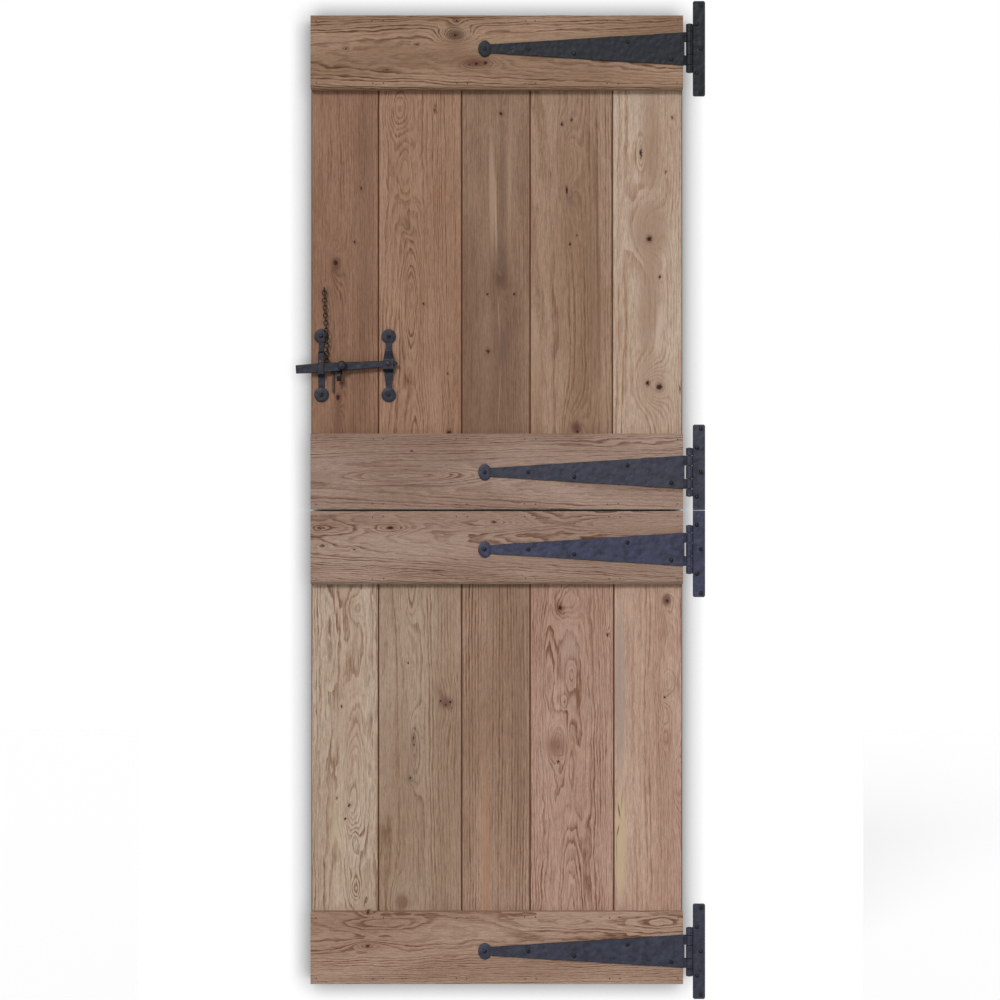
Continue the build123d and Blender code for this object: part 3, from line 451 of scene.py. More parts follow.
oak("upper_board_2", ((160, 127, 105), (104, 71, 50), (148, 114, 92)),
    (197, 0.012, 0.0017, 0.004, 3, 1.6, 0.85, 4), sides=(138, 309),
    figures=[(181, 1796, 24, 46, 0, -4.5), (193, 1661, 20, 60, 0, 3.5),
             (207, 1399, 17, 110, 0, -6.5), (197, 1553, 8, 26, 18, 1.5),
             (215, 1113, 16, 90, 0, -4), (283, 1133, 18, 50, 0, -3)],
    knots=[(283, 1127, 4.4, 5.2), (231, 1393, 1.1, 2.2), (252, 1792, 1, 2), (280, 1250, 1.1, 2)],
    stains=[(197, 1559, 5, 16, 12, 2, (98, 70, 54), 0.55),
            (187, 1532, 4, 12, 30, 2, (98, 70, 54), 0.4)])
oak("upper_board_3", ((146, 118, 98), (100, 67, 47), (122, 94, 76)),
    (380, 0.24, 0, 0.0006, 3, 0.8, 0.55, 2.6), sides=(309, 449.5),
    figures=[(389, 1450, 16, 60, 0, 5), (363, 1295, 10, 40, 0, 2.5), (388, 1338, 12, 90, 0, 2.4),
             (389, 1784, 9, 60, 0, 2)],
    knots=[(389, 1784, 2.6, 2.8), (362, 1413, 1.6, 2), (417, 1413, 1.6, 2.4),
           (363, 1295, 2.8, 3.6)],
    stains=[(371, 1624, 6, 118, 0.6, 4, (172, 146, 124), 0.62),
            (379, 1573, 2.2, 84, 0.8, 3, (184, 158, 136), 0.6),
            (408, 1665, 4.6, 160, -0.4, 3, (164, 136, 114), 0.5),
            (389, 1446, 11, 20, 0, 3, (92, 62, 52), 0.8),
            (387, 1456, 4, 7, 25, 3, (134, 104, 90), 0.8),
            (392, 1645, 7, 150, 0, 3, (104, 80, 64), 0.5),
            (392, 1477, 13, 50, 0, 3, (98, 76, 62), 0.5),
            (396, 1307, 14, 44, 0, 2, (104, 80, 72), 0.6),
            (385, 1368, 1.4, 50, 3, 4, (168, 140, 118), 0.45),
            (386, 1195, 1.4, 80, -3, 4, (160, 132, 110), 0.4)])
oak("upper_board_4", ((165, 138, 117), (110, 80, 58), (142, 112, 90)),
    (530, 0.09, 0.0006, 0.0012, 4, 0.9, 0.75, 3), sides=(449.5, 618.5),
    figures=[(531, 1685, 19, 62, 0, 6), (544, 1113, 26, 75, 0, 6), (525, 1626, 8, 26, 0, 1.5)],
    knots=[(515, 1762, 2, 3.2), (535, 1770, 1.3, 2.6), (525, 1626, 2.2, 6), (531, 1516, 1.5, 2.8),
           (546, 1533, 1.2, 1.8), (547, 1131, 2.6, 2)],
    stains=[(544, 1139, 11, 13, 0, 3, (88, 56, 50), 0.85),
            (528, 1767, 16, 60, 0, 2, (122, 94, 76), 0.4),
            (588, 1512, 3.2, 300, 1, 4, (104, 78, 60), 0.6),
            (577, 1399, 10, 200, 0, 2, (124, 98, 78), 0.4),
            (531, 1604, 8, 16, 0, 2, (110, 86, 78), 0.6)])
oak("upper_board_5", ((188, 168, 150), (138, 99, 71), (176, 152, 132)),
    (690, 0.05, 0.0012, 0.0005, 3, 0.9, 0.6, 3), sides=(618.5, 762),
    figures=[(695, 1553, 34, 60, 0, 5), (701, 1229, 30, 48, 0, 6), (677, 1702, 10, 30, 0, 1.6)],
    knots=[(677, 1702, 1.9, 6.4), (741, 1775, 1.8, 2.4), (694, 1526, 4.2, 4.4),
           (728, 1663, 1.2, 2.6), (716, 1448, 1.6, 2.8), (691, 1230, 3, 3.8),
           (715, 1222, 4.8, 4.8), (757, 1219, 1.2, 4)],
    stains=[(699, 1726, 22, 110, 2, 4, (152, 124, 104), 0.7),
            (695, 1546, 40, 64, 0, 5, (152, 124, 104), 0.75),
            (695, 1399, 22, 120, -2, 4, (152, 124, 104), 0.7),
            (714, 1342, 7, 50, -8, 3, (190, 168, 152), 0.8),
            (701, 1229, 36, 60, 0, 3, (158, 132, 112), 0.5)])

# Boards of the lower leaf: five more boards of the same make, from paler and pinker planks,
# so that each has its own tone and figure. The last one keeps a spalted strip of sapwood.
oak("lower_board_1", ((184, 164, 146), (120, 87, 64), (166, 144, 124)),
    (86, 0.03, 0.0012, 0.001, 4, 2, 0.9, 3), sides=(0, 138),
    figures=[(87, 376, 24, 175, 0, 9), (91, 769, 14, 26, 0, 3), (91, 290, 12, 40, 0, -3.5),
             (91, 188, 13, 26, 0, 3), (40, 704, 14, 80, 0, 2)],
    knots=[(78, 363, 2, 2.6), (62, 566, 1.3, 2.2), (52, 378, 1.1, 1.6), (70, 335, 1.6, 2),
           (117, 145, 2.4, 2)],
    stains=[(81, 540, 34, 150, 0, 3, (168, 142, 120), 0.4),
            (50, 315, 12, 60, 0, 2, (182, 164, 136), 0.5)])
oak("lower_board_2", ((168, 147, 128), (118, 87, 64), (150, 126, 106)),
    (240, 0.13, 0.0006, 0.0012, 4, 1, 0.75, 3), sides=(138, 309),
    figures=[(203, 837, 15, 120, 0, 5), (210, 475, 17, 84, 0, 5), (187, 162, 22, 50, 0, 4),
             (278, 571, 20, 40, 0, -2)],
    knots=[(276, 569, 2.4, 1.8), (286, 575, 1.4, 2.4), (266, 577, 1.4, 1), (289, 563, 0.9, 1.6),
           (210, 501, 0.9, 2.8), (211, 487, 0.7, 2), (199, 655, 1.1, 1.6), (203, 419, 1.6, 2.2)],
    stains=[(276, 573, 15, 13, 0, 2.4, (98, 68, 60), 0.8),
            (266, 591, 7, 18, 30, 2, (116, 82, 70), 0.7),
            (210, 497, 6, 18, 0, 2, (98, 72, 60), 0.65),
            (187, 164, 14, 18, 0, 4, (116, 84, 66), 0.75),
            (207, 454, 12, 50, 0, 2, (136, 112, 96), 0.5),
            (203, 417, 5, 8, 0, 2, (104, 92, 84), 0.6)])
oak("lower_board_3", ((168, 139, 120), (106, 76, 54), (145, 117, 98)),
    (380, 0.16, 0, 0.0005, 3, 0.6, 0.95, 2.6), sides=(309, 449.5),
    stains=[(358, 254, 8, 190, 0, 3, (168, 122, 92), 0.45),
            (427, 540, 8, 280, 0, 3, (120, 94, 78), 0.35)])
oak("lower_board_4", ((178, 146, 130), (112, 73, 52), (164, 130, 112)),
    (535, 0.02, 0.0014, 0.003, 3, 2, 0.95, 3.6), sides=(449.5, 621.5),
    figures=[(531, 785, 20, 40, 0, 5), (534, 630, 10, 26, 0, 3), (520, 575, 7, 14, 0, 2),
             (504, 489, 20, 40, 0, -5), (534, 100, 26, 230, 0, 9), (484, 632, 16, 110, 0, -4),
             (533, 458, 12, 60, 0, 3)],
    knots=[(511, 769, 2.8, 3.4), (609, 713, 1.5, 2.4), (507, 452, 1.7, 2.2), (520, 575, 1, 1.2)],
    stains=[(528, 683, 18, 80, 0, 2, (176, 150, 136), 0.5),
            (510, 767, 10, 13, 0, 2, (108, 72, 62), 0.75),
            (502, 485, 21, 25, 0, 2.4, (114, 76, 60), 0.7)])
oak("lower_board_5", ((186, 157, 139), (128, 87, 64), (172, 140, 122)),
    (680, 0.1, 0.0006, 0.001, 3, 1.2, 0.6, 3), sides=(621.5, 762),
    figures=[(730, 775, 16, 40, 0, 5), (728, 683, 12, 40, 0, 3), (727, 614, 19, 38, 0, 7),
             (724, 503, 9, 40, 0, 3), (750, 407, 16, 70, 0, 6)],
    knots=[(731, 783, 2.4, 2.8), (726, 585, 1.7, 1.8)],
    stains=[(730, 785, 9.5, 13, 0, 5, (88, 60, 54), 0.8),
            (731, 788, 4.5, 6, 0, 3, (140, 104, 90), 0.5),
            (634, 601, 10.5, 190, 0, 6, (160, 142, 130), 0.75),
            (635, 290, 12.5, 112, 0, 9, (190, 167, 138), 0.85),
            (638, 376, 1, 22, -3, 3, (110, 82, 62), 0.7),
            (627, 274, 0.9, 40, 2, 3, (120, 92, 70), 0.6),
            (632, 352, 1.5, 16, 8, 3, (70, 48, 38), 0.85),
            (630, 311, 1.3, 12, -10, 3, (76, 54, 42), 0.8),
            (726, 720, 8, 22, 0, 2, (136, 98, 80), 0.4)])

# Ledges: four rails of the same oak across the boards, 22 mm thick, planed, the edge
# towards the open field chamfered, nailed through from the boards. Their grain lies along.
oak("top_ledge", ((164, 135, 112), (86, 56, 38), (138, 110, 88)),
    (1904, 0.01, 0.0016, -0.007, 4, 2, 1.15, 3), lying=True,
    figures=[(1941, 296, 19, 34, 0, 7), (1884, 349, 12, 40, 0, 3)],
    knots=[(1941, 296, 2, 3.2), (1970, 299, 1.6, 2.4), (1882, 339, 2.8, 3.2), (1884, 358, 2.4, 3),
           (1880, 325, 1.2, 2), (1921, 218, 1.3, 2.2), (1913, 72, 1.2, 2)],
    stains=[(1884, 337, 8, 28, 0, 2.5, (78, 46, 40), 0.75),
            (1941, 296, 12, 19, 0, 3, (70, 48, 38), 0.8),
            (1890, 325, 14, 40, 0, 2, (112, 78, 60), 0.4),
            (1915, 294, 14, 30, 0, 2, (120, 88, 68), 0.45)])
oak("upper_meeting_ledge", ((165, 141, 127), (104, 73, 56), (141, 117, 103)),
    (1037, 0.01, 0.0016, -0.006, 4, 1.6, 1.1, 3), lying=True,
    figures=[(1039, 199, 15, 150, 0, 8), (1098, 671, 12, 160, 0, 3)],
    knots=[(1090, 207, 1, 2)],
    stains=[(1019, 213, 2, 90, 0, 3, (92, 66, 52), 0.6),
            (1039, 20, 14, 40, 0, 2, (128, 104, 92), 0.5)])
oak("lower_meeting_ledge", ((163, 139, 124), (98, 66, 49), (147, 121, 105)),
    (934, 0.01, 0.0014, -0.014, 4, 2.2, 1.1, 3), lying=True,
    figures=[(933, 164, 11, 44, 0, 3), (943, 366, 15, 90, 0, 6), (933, 40, 13, 60, 0, 3.5),
             (941, 773, 19, 230, 0, 11)],
    knots=[(933, 164, 2.6, 5), (945, 376, 1.8, 3.4), (933, 19, 1.6, 2.2), (897, 24, 1.6, 2),
           (889, 90, 1.2, 1.4)],
    stains=[(845, 256, 1.4, 12, 0, 3, (72, 50, 40), 0.8)])
oak("bottom_ledge", ((170, 142, 124), (106, 72, 52), (150, 121, 103)),
    (116, 0.01, 0.0015, 0.004, 4, 2.4, 1, 3), lying=True,
    figures=[(78, 117, 10, 50, 0, 2.4), (123, 142, 16, 90, 0, 4), (127, 508, 16, 120, 0, 4),
             (123, 712, 16, 90, 0, 4)],
    knots=[(78, 117, 2, 2.8), (145, 117, 1.6, 2.8)],
    stains=[(78, 117, 8, 22, 0, 2, (124, 94, 76), 0.4)])

# Tee hinges, the straps: mild steel 3.5 mm thick, forged to a taper with a penny end,
# hammered and waxed black, and rolled into two of the barrel's five knuckles. Sizes from
# here on are millimetres in the door's own frame.
plate = 3.5
pin_x, pin_y = -23.9, -7.0


def make_forged_group():
    """Forged iron's look under its wax: hammer marks, and patches and specks of scale."""
    group, given, found = new_group(
        "forged_surface", {"place": "Place", "colour": "Dark Pale", "value": "Rough"},
        {"colour": "Color", "value": "Roughness Height"})
    hammer = group.nodes.new("ShaderNodeTexVoronoi")
    hammer.feature = "SMOOTH_F1"
    for label, value in (("Scale", 95.0), ("Smoothness", 1.0), ("Vector", given["Place"])):
        put(group, hammer.inputs[label], value)
    patch = cloud(group, scaled(group, given["Place"], (60, 60, 60)), 3.0, 0.6)
    scale = cloud(group, scaled(group, given["Place"], (900, 900, 900)), 2.0, 0.6)
    light = (patch - 0.5) * 1.95 + (scale - 0.5) * 1.2
    share = reckon(group, "ADD", light, 0.5, clamp=True)
    rough = Amount(group, given["Rough"])
    dents = Amount(group, hammer.outputs["Distance"]) * 0.9
    put(group, found["Color"], blend_colours(group, share, given["Dark"], given["Pale"]))
    put(group, found["Roughness"], span(group, share, 0.0, 1.0, rough - 0.08, rough + 0.12))
    put(group, found["Height"], dents + scale * 0.12)
    return group


forged_surface = make_forged_group()


def waxed_iron(name, tones, rough):
    """Forged iron under its wax, in its own tone and shine."""
    material, tree, shader, where = new_finish(name)
    dark = paint(*(tone * 0.72 for tone in tones))
    pale = paint(*(min(255, tone * 1.28) for tone in tones))
    look = use_group(tree, forged_surface, Place=where, Dark=dark, Pale=pale, Rough=rough)
    put(tree, shader["Base Color"], look["Color"])
    put(tree, shader["Roughness"], look["Roughness"])
    put(tree, shader["Metallic"], 0.45)
    put(tree, shader["Specular IOR Level"], 0.35)
    emboss(tree, shader, look["Height"], 0.8, 0.0016)
    return material


black_iron = waxed_iron("black_waxed_iron", (34, 34, 43), 0.48)
# A darker copy of the iron for the eased edges: painted shade along the rims of the pieces.
rim_shade_iron = waxed_iron("black_iron_painted_rim_shade", (17, 17, 20), 0.42)


def finish_piece(name, form, body, node="", material=black_iron, arris=0.0):
    """Makes the form a piece of the door, in place of a solid, its edges eased by the arris and
    given a darker iron there, painted shade along the rims.
    """
    bmesh.ops.recalc_face_normals(form, faces=form.faces)
    bmesh.ops.scale(form, vec=(0.001, 0.001, 0.001), verts=form.verts)
    mesh = bpy.data.meshes.new(name)
    form.to_mesh(mesh)
    form.free()
    mesh.materials.append(material)
    mesh.materials.append(rim_shade_iron)
    mesh.shade_smooth()
    mesh.set_sharp_from_angle(angle=math.radians(35))
    piece = bpy.data.objects.new(name, mesh)
    scene.collection.objects.link(piece)
    if arris:
        ease = piece.modifiers.new("eased_edges", "BEVEL")
        ease.width = arris / 1000
        # The eased edges take the darker iron, painted shade along the rims.
        ease.material = 1
        ease.segments = 2
        ease.limit_method = "ANGLE"
        ease.angle_limit = math.radians(40)
        ease.harden_normals = True
    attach(piece, body)
    if node:
        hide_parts(node)


def added(items, before):
    """The corners or faces of a form that weren't there before."""
    return [item for item in items if item not in before]


def pulled(form, faces, vector):
    """Pulls flat faces out into a solid plate or bar."""
    made = bmesh.ops.extrude_face_region(form, geom=faces)
    moved = [item for item in made["geom"] if isinstance(item, bmesh.types.BMVert)]
    bmesh.ops.translate(form, vec=vector, verts=moved)


def flat_bar(form, corners, back, thick, cuts=0, wander=0.0):
    """A bar cut to (x, z) corners, its long edges hammered a little uneven."""
    before = set(form.faces)
    face = form.faces.new([form.verts.new((x, back, z)) for x, z in corners])
    if cuts:
        edges = sorted(face.edges, key=lambda edge: edge.calc_length())[-2:]
        bmesh.ops.subdivide_edges(form, edges=edges, cuts=cuts, use_grid_fill=True)
    faces = added(form.faces, before)
    for vert in {vert for face in faces for vert in face.verts}:
        vert.co.z += wander * noise.noise(vert.co * 0.035)
    pulled(form, faces, (0, -thick, 0))


def spun(form, section, before, steps):
    """Spins a section once round the upright axis and closes its seam."""
    bmesh.ops.spin(form, geom=section, cent=(0, 0, 0), axis=(0, 0, 1), angle=math.tau,
                   steps=steps, use_merge=True)
    bmesh.ops.remove_doubles(form, verts=added(form.verts, before), dist=0.0005)
    return added(form.verts, before)


def turned(form, profile, place, steps):
    """A round shape: a profile of (radius, height) pairs spun round and put in its place."""
    before = set(form.verts)
    line = [form.verts.new((radius, 0, height)) for radius, height in profile]
    edges = [form.edges.new(pair) for pair in zip(line, line[1:])]
    made = spun(form, line + edges, before, steps)
    bmesh.ops.transform(form, matrix=place, verts=made)
    return made


def to_viewer(x, y, z):
    """Stands a turned shape on its spot, pointing away from the ledged side."""
    return Matrix.Translation((x, y, z)) @ Matrix.Rotation(math.pi / 2, 4, "X")


def knuckle(form, low, high, side, shoulder):
    """One knuckle: the tongue of the sheet and its roll round the pin."""
    corners = ((0, low), (0, high), (-plate, high), (-plate, low))
    section = form.faces.new([form.verts.new((pin_x, deep, z)) for deep, z in corners])
    bmesh.ops.spin(form, geom=[section, *section.edges, *section.verts], cent=(pin_x, pin_y, 0),
                   axis=(0, 0, 1), angle=side * math.radians(292), steps=30)
    root = form.faces.new([form.verts.new((pin_x, deep, z)) for deep, z in corners])
    pulled(form, [root], (side * shoulder, 0, 0))


hinge_irons = {name: waxed_iron(name + "_hinge_iron", tones, 0.48) for name, tones in (
    ("top", (21, 24, 30)), ("upper_middle", (46, 47, 58)), ("lower_middle", (48, 50, 68)),
    ("bottom", (46, 48, 61)))}
heights = {name: sum(corner.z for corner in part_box(name + "_hinge_pin")) * 500
           for name in hinge_irons}
leaves = {"top": "upper_leaf", "upper_middle": "upper_leaf", "lower_middle": "lower_leaf",
          "bottom": "lower_leaf"}
root_x, root_half = -33.6, 34
neck_x, neck_half = -430.9, 9
for name, height in heights.items():
    form = bmesh.new()
    root, neck = ([(x, height - half), (x, height + half)]
                  for x, half in ((root_x, root_half), (neck_x, neck_half)))
    flat_bar(form, root + neck[::-1], 0, plate, cuts=28, wander=0.9)
    flat_bar(form, [*neck, (-438, height + neck_half), (-438, height - neck_half)], 0, 3.4)
    penny = turned(form, ((0, 0), (13.5, 0), (13.5, 3.4), (11.6, 4.2), (8, 4.3), (0, 4.1)),
                   to_viewer(0, 0, 0), steps=40)
    bmesh.ops.scale(form, vec=(1, 1, 1.24), verts=penny)
    bmesh.ops.translate(form, vec=(-441.9, 0, height), verts=penny)
    knuckle(form, height + 13.6, height + root_half, -1, 12)
    knuckle(form, height - root_half, height - 13.6, -1, 12)
    finish_piece(name + "_forged_strap", form, leaves[name], name + "_strap",
                 hinge_irons[name], arris=1.2)

# Tee hinges, the cross plates: the same steel, 25 mm wide, with the other three knuckles and
# five screw holes. The two in the middle are cut square where they meet, and keep four of
# the holes. They stay with the door post, and so do the pins and the black wood screws.
plate_left, plate_right, meeting_z = -16.5, 8.5, 901.5
slot_turns = itertools.count(67, 67)
black_screw = waxed_iron("black_screw_finish", (26, 26, 30), 0.4)


def sheet_with_holes(form, corners, holes, radius):
    """A plate cut to its corners, with round holes."""
    outline = [form.verts.new((x, 0, z)) for x, z in corners]
    edges = [form.edges.new((vert, outline[index - 1])) for index, vert in enumerate(outline)]
    for x, z in holes:
        ring = bmesh.ops.create_circle(form, cap_ends=False, radius=radius, segments=24)["verts"]
        edges += list({edge for vert in ring for edge in vert.link_edges})
        bmesh.ops.transform(form, matrix=to_viewer(x, 0, z), verts=ring)
    made = bmesh.ops.triangle_fill(form, edges=edges, use_beauty=True)
    faces = [item for item in made["geom"] if isinstance(item, bmesh.types.BMFace)]
    pulled(form, faces, (0, -plate, 0))


def screw(form, place, shank):
    """A black wood screw: a low domed head over its shank, its slot turned any way."""
    turn = Matrix.Rotation(math.radians(next(slot_turns)), 4, "Z")
    half_slot = 0.55
    before = set(form.verts)
    turned(form, ((0, -shank), (2, -0.7 * shank), (2.25, 0), (4.3, 0), (4.25, 0.5), (3.7, 1.35),
                  (2.5, 2.05), (1.2, 2.35), (0, 2.4)), turn, steps=20)
    cut = {item for vert in added(form.verts, before)
           for item in (vert, *vert.link_edges, *vert.link_faces)}
    for side in (-half_slot, half_slot):
        cut = bmesh.ops.bisect_plane(form, geom=list(cut), plane_co=(side, 0, 0),
                                     plane_no=(1, 0, 0), dist=0.0001)["geom"]
    slot = [face for face in cut if isinstance(face, bmesh.types.BMFace)
            and abs(face.calc_center_median().x) < half_slot
            and face.calc_center_median().z > 0.6]
    pulled(form, slot, (0, 0, -0.9))
    bmesh.ops.transform(form, matrix=place @ turn, verts=added(form.verts, before))


def screw_set(name, body, places, node="", shank=19.0):
    """All the screws of one kind on one body."""
    form = bmesh.new()
    for place in places:
        screw(form, place, shank)
    finish_piece(name, form, body, node, black_screw)


plate_screws = []
for name, height in heights.items():
    low, high = (corner.z * 1000 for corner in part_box(name + "_frame_plate"))
    holes = [(0, height - 89), (0, height), (0, height + 89), (-8, height - 50), (-8, height + 50)]
    holes = [(x, z) for x, z in holes if low < z < high]
    foot, head = (2.5 if abs(end - meeting_z) > 5 else 0.4 for end in (low, high))
    form = bmesh.new()
    sheet_with_holes(form, (
        (plate_left, low + foot), (plate_left + foot, low), (plate_right - foot, low),
        (plate_right, low + foot), (plate_right, high - head), (plate_right - head, high),
        (plate_left + head, high), (plate_left, high - head)), holes, 2.6)
    for bottom, top in ((-13.2, 13.2), (34.4, 49.4), (-49.4, -34.4)):
        knuckle(form, height + bottom, height + top, 1, 7.4)
    finish_piece(name + "_forged_plate", form, "frame_side", name + "_frame_plate",
                 hinge_irons[name], arris=1.0)
    coat(name + "_hinge_pin", black_iron)
    plate_screws += [to_viewer(x, -plate, z) for x, z in holes]
screw_set("frame_plate_screws", "frame_side", plate_screws, shank=3.4)

# Screws of the straps, the latch plates and the handle: black round-headed wood screws,
# their slots turned any way. Those of the latch plates hold the two pennies of each, and the
# handle's come from the boarded side.
guide_x, pivot_x = -777.3, -639.3
penny_heights = (1258.5, 1138.5)
boards_back = 44


def to_back(x, y, z):
    """Stands a turned shape on its spot, pointing away from the boarded side."""
    return Matrix.Translation((x, y, z)) @ Matrix.Rotation(-math.pi / 2, 4, "X")


strap_spots = ((-418, 0), (-329, 0), (-235, -10), (-126, 14), (-36.5, -22))
for leaf in ("upper", "lower"):
    screw_set(leaf + "_slotted_strap_screws", leaf + "_leaf",
              [to_viewer(pin_x + x, -3.6, height + z) for name, height in heights.items()
               if leaves[name] == leaf + "_leaf" for x, z in strap_spots],
              leaf + "_strap_screws")
screw_set("latch_slotted_screws", "upper_leaf",
          [to_viewer(x, 18.6, z) for x in (guide_x, pivot_x) for z in penny_heights],
          "latch_plate_screws")
screw_set("handle_slotted_screws", "upper_leaf",
          [to_back(x, 48, z) for x, z in (
              (-756.3, 1183.25), (-724.3, 1183.25), (-740.3, 1008.25))], "handle_screws")

# Ledge nails: cut iron nails driven through the boards and the ledges in two rows, one on
# each side of every joint. Their clenched points show as small dark spots on the ledges, and
# their rose heads on the boarded side.
leaf_width = 762
for leaf, joints, rows in (
        ("upper", (0, 138, 309, 449.5, 618.5, leaf_width), (1774.5, 1902.5, 914.5, 1047.5)),
        ("lower", (0, 138, 309, 449.5, 621.5, leaf_width), (761.5, 888.5, -56.5, 68.5))):
    form = bmesh.new()
    for z, joint, side in itertools.product(rows, joints, (-11, 11)):
        if 0 < joint + side < leaf_width:
            x = latch_edge + joint + side + 2.0 * noise.noise(Vector((joint, side, z)))
            nail_z = z + 2.0 * noise.noise(Vector((z, joint, side)))
            turned(form, ((0, -0.6), (1.5, -0.4), (1.3, 0.25), (0.6, 0.45), (0, 0.4)),
                   to_viewer(x, 0, nail_z), steps=7)
            turned(form, ((0, -1), (3, -0.6), (3.1, 0.3), (1.6, 1.2), (0, 1.5)),
                   to_back(x, boards_back, nail_z), steps=6)
    finish_piece(leaf + "_ledge_nails", form, leaf + "_leaf")

# Latch guide and pivot plate: forged straps 3 mm thick with a penny at each end, bent out
# over the bar and screwed to the first two boards. The bar rests in the guide's bow; the
# peg goes through the hole above it. The bar's rivet is hammered over on the pivot plate.
pivot_z = 1201.5


def between(value, stops):
    """The value of a broken line through (place, value) stops."""
    for (start, first), (end, last) in zip(stops, stops[1:]):
        if value <= end:
            share = max(0.0, min(1.0, (value - start) / (end - start)))
            return first + (last - first) * share
    return stops[-1][1]


def punch(form, x, z, radius):
    """Opens a round hole in a fine mesh of faces."""
    middle = Vector((x, z))
    cut = {face for face in form.faces
           if (face.calc_center_median().xz - middle).length < radius}
    rim = {vert for face in cut for vert in face.verts if set(vert.link_faces) - cut}
    bmesh.ops.delete(form, geom=list(cut), context="FACES")
    for vert in rim:
        vert.co.x, vert.co.z = middle + (vert.co.xz - middle).normalized() * radius


def latch_plate(node, x, widths, depths, hole=None):
    """A strap whose width and place in depth follow their stops up it, with its pennies."""
    low, high = 1144, 1252
    form = bmesh.new()
    for vert in bmesh.ops.create_grid(form, x_segments=10, y_segments=96, size=0.5)["verts"]:
        z = low + (vert.co.y + 0.5) * (high - low)
        vert.co = Vector((x + vert.co.x * between(z, widths), between(z, depths), z))
    if hole:
        punch(form, *hole)
    form.normal_update()
    bmesh.ops.solidify(form, geom=form.faces[:], thickness=3)
    for z in penny_heights:
        turned(form, ((0, 0), (15, 0), (15, 2.6), (12.6, 3.4), (9, 3.6), (0, 3.3)),
               to_viewer(x, 22, z), steps=44)
    finish_piece(node + "_forged", form, "upper_leaf", node, arris=1.3)


latch_plate("latch_guide", guide_x,
            ((1144, 12.5), (1150, 12), (1175, 14), (1183, 12), (1222, 12), (1236, 11), (1252, 12)),
            ((1144, 19), (1175.5, 19), (1180, 1), (1223, 1), (1227.5, 19), (1252, 19)),
            hole=(guide_x, 1206.13, 2.8))
latch_plate("pivot_plate", pivot_x,
            ((1144, 11), (1152, 10.5), (1189, 21), (1211, 21), (1236, 12), (1252, 13)),
            ((1144, 19), (1186, 19), (1190.5, 1.5), (1211, 1.5), (1229, 19), (1252, 19)))
form = bmesh.new()
turned(form, ((0, -11.4), (5.2, -11.4), (5.9, -10.6), (6, -9.5), (3.5, -9.5), (3.5, 0), (6, 0),
              (5.9, 0.7), (4.6, 1.6), (2.6, 2), (0, 2.05)), to_viewer(pivot_x, 1.5, pivot_z),
       steps=28)
finish_piece("pivot_rivet_hammered", form, "upper_leaf", "pivot_rivet")

# Latch bar: a forged bar 6 mm thick that turns on its rivet and lies in the guide, with a
# turned knob to lift it by from the ledged side. Both are drawn level about the pivot and
# then tilted to the bar's rest.
bar_rest = (Matrix.Translation((pivot_x, 0, pivot_z)) @
            Matrix.Rotation(math.radians(-3.5), 4, "Y"))
form = bmesh.new()
flat_bar(form, (
    (-190, -8.6), (-190, 8.6), (-164, 9.4), (-138, 9.75), (-92, 8.8), (-46, 7.7), (0, 6.5),
    (10, 6.5), (17.8, 2.2), (19.6, 0), (17.8, -2.2), (10, -6.5), (0, -6.5), (-46, -7.5),
    (-92, -8.6), (-138, -9.75), (-164, -9.4)), 11, 6)
bmesh.ops.transform(form, matrix=bar_rest, verts=form.verts)
finish_piece("latch_bar_forged", form, "latch_bar", "latch_bar", arris=1.2)
form = bmesh.new()
turned(form, ((0, 0), (4.6, 0), (4.4, 1.6), (4.9, 3.2), (7.4, 5), (9.1, 7.2), (9.5, 9.2),
              (9.1, 11.4), (7.6, 13.4), (5.2, 14.8), (2.4, 15.4), (0, 15.5)),
       bar_rest @ to_viewer(-95, 5, 2.2), steps=36)
finish_piece("latch_knob_turned", form, "latch_bar", "latch_knob")

# Thumb lever: a flat iron tongue through the first board, dished for the thumb on the
# boarded side and curled under the bar on the ledged side, where its tip shows.
lever_x, lever_y, lever_z = -740.3, 53, 1183.246
across_door = Matrix.Rotation(math.pi / 2, 4, "Y")
form = bmesh.new()
section, curl = (form.faces.new([form.verts.new((lever_x + side, 0, lever_z + rise)) for side, rise
                                 in ((-4.5, -2.5), (4.5, -2.5), (4.5, 2.5), (-4.5, 2.5))])
                 for _ in range(2))
bmesh.ops.spin(form, geom=[curl, *curl.edges, *curl.verts], cent=(lever_x, 0, lever_z - 7.5),
               axis=(1, 0, 0), angle=math.radians(265), steps=22)
pulled(form, [section], (0, 74, 0))
turned(form, ((0, -2.5), (15.4, -2.5), (16.8, -1.4), (17, 0.4), (16.2, 2.3), (14.6, 2.3),
              (9, 0.7), (0, 0.1)), Matrix.Translation((lever_x, 87, lever_z)), steps=40)
turned(form, ((0, -4.5), (5, -4.5), (5, 4.5), (0, 4.5)),
       Matrix.Translation((lever_x, lever_y, lever_z)) @ across_door, steps=24)
# The lever's iron is near-black, darker than the other latch pieces: painted shade of the bar over
# its curled tip.
finish_piece("thumb_lever_forged", form, "thumb_lever", "thumb_lever",
             waxed_iron("lever_black_iron_painted_shade", (21, 20, 23), 0.3), arris=0.6)
coat("lever_pin", black_iron)

# Pull handle on the boarded side: a round bar bent to a grip, swelling in the hand, on a
# round top plate with the lever's two ears and a round foot plate.


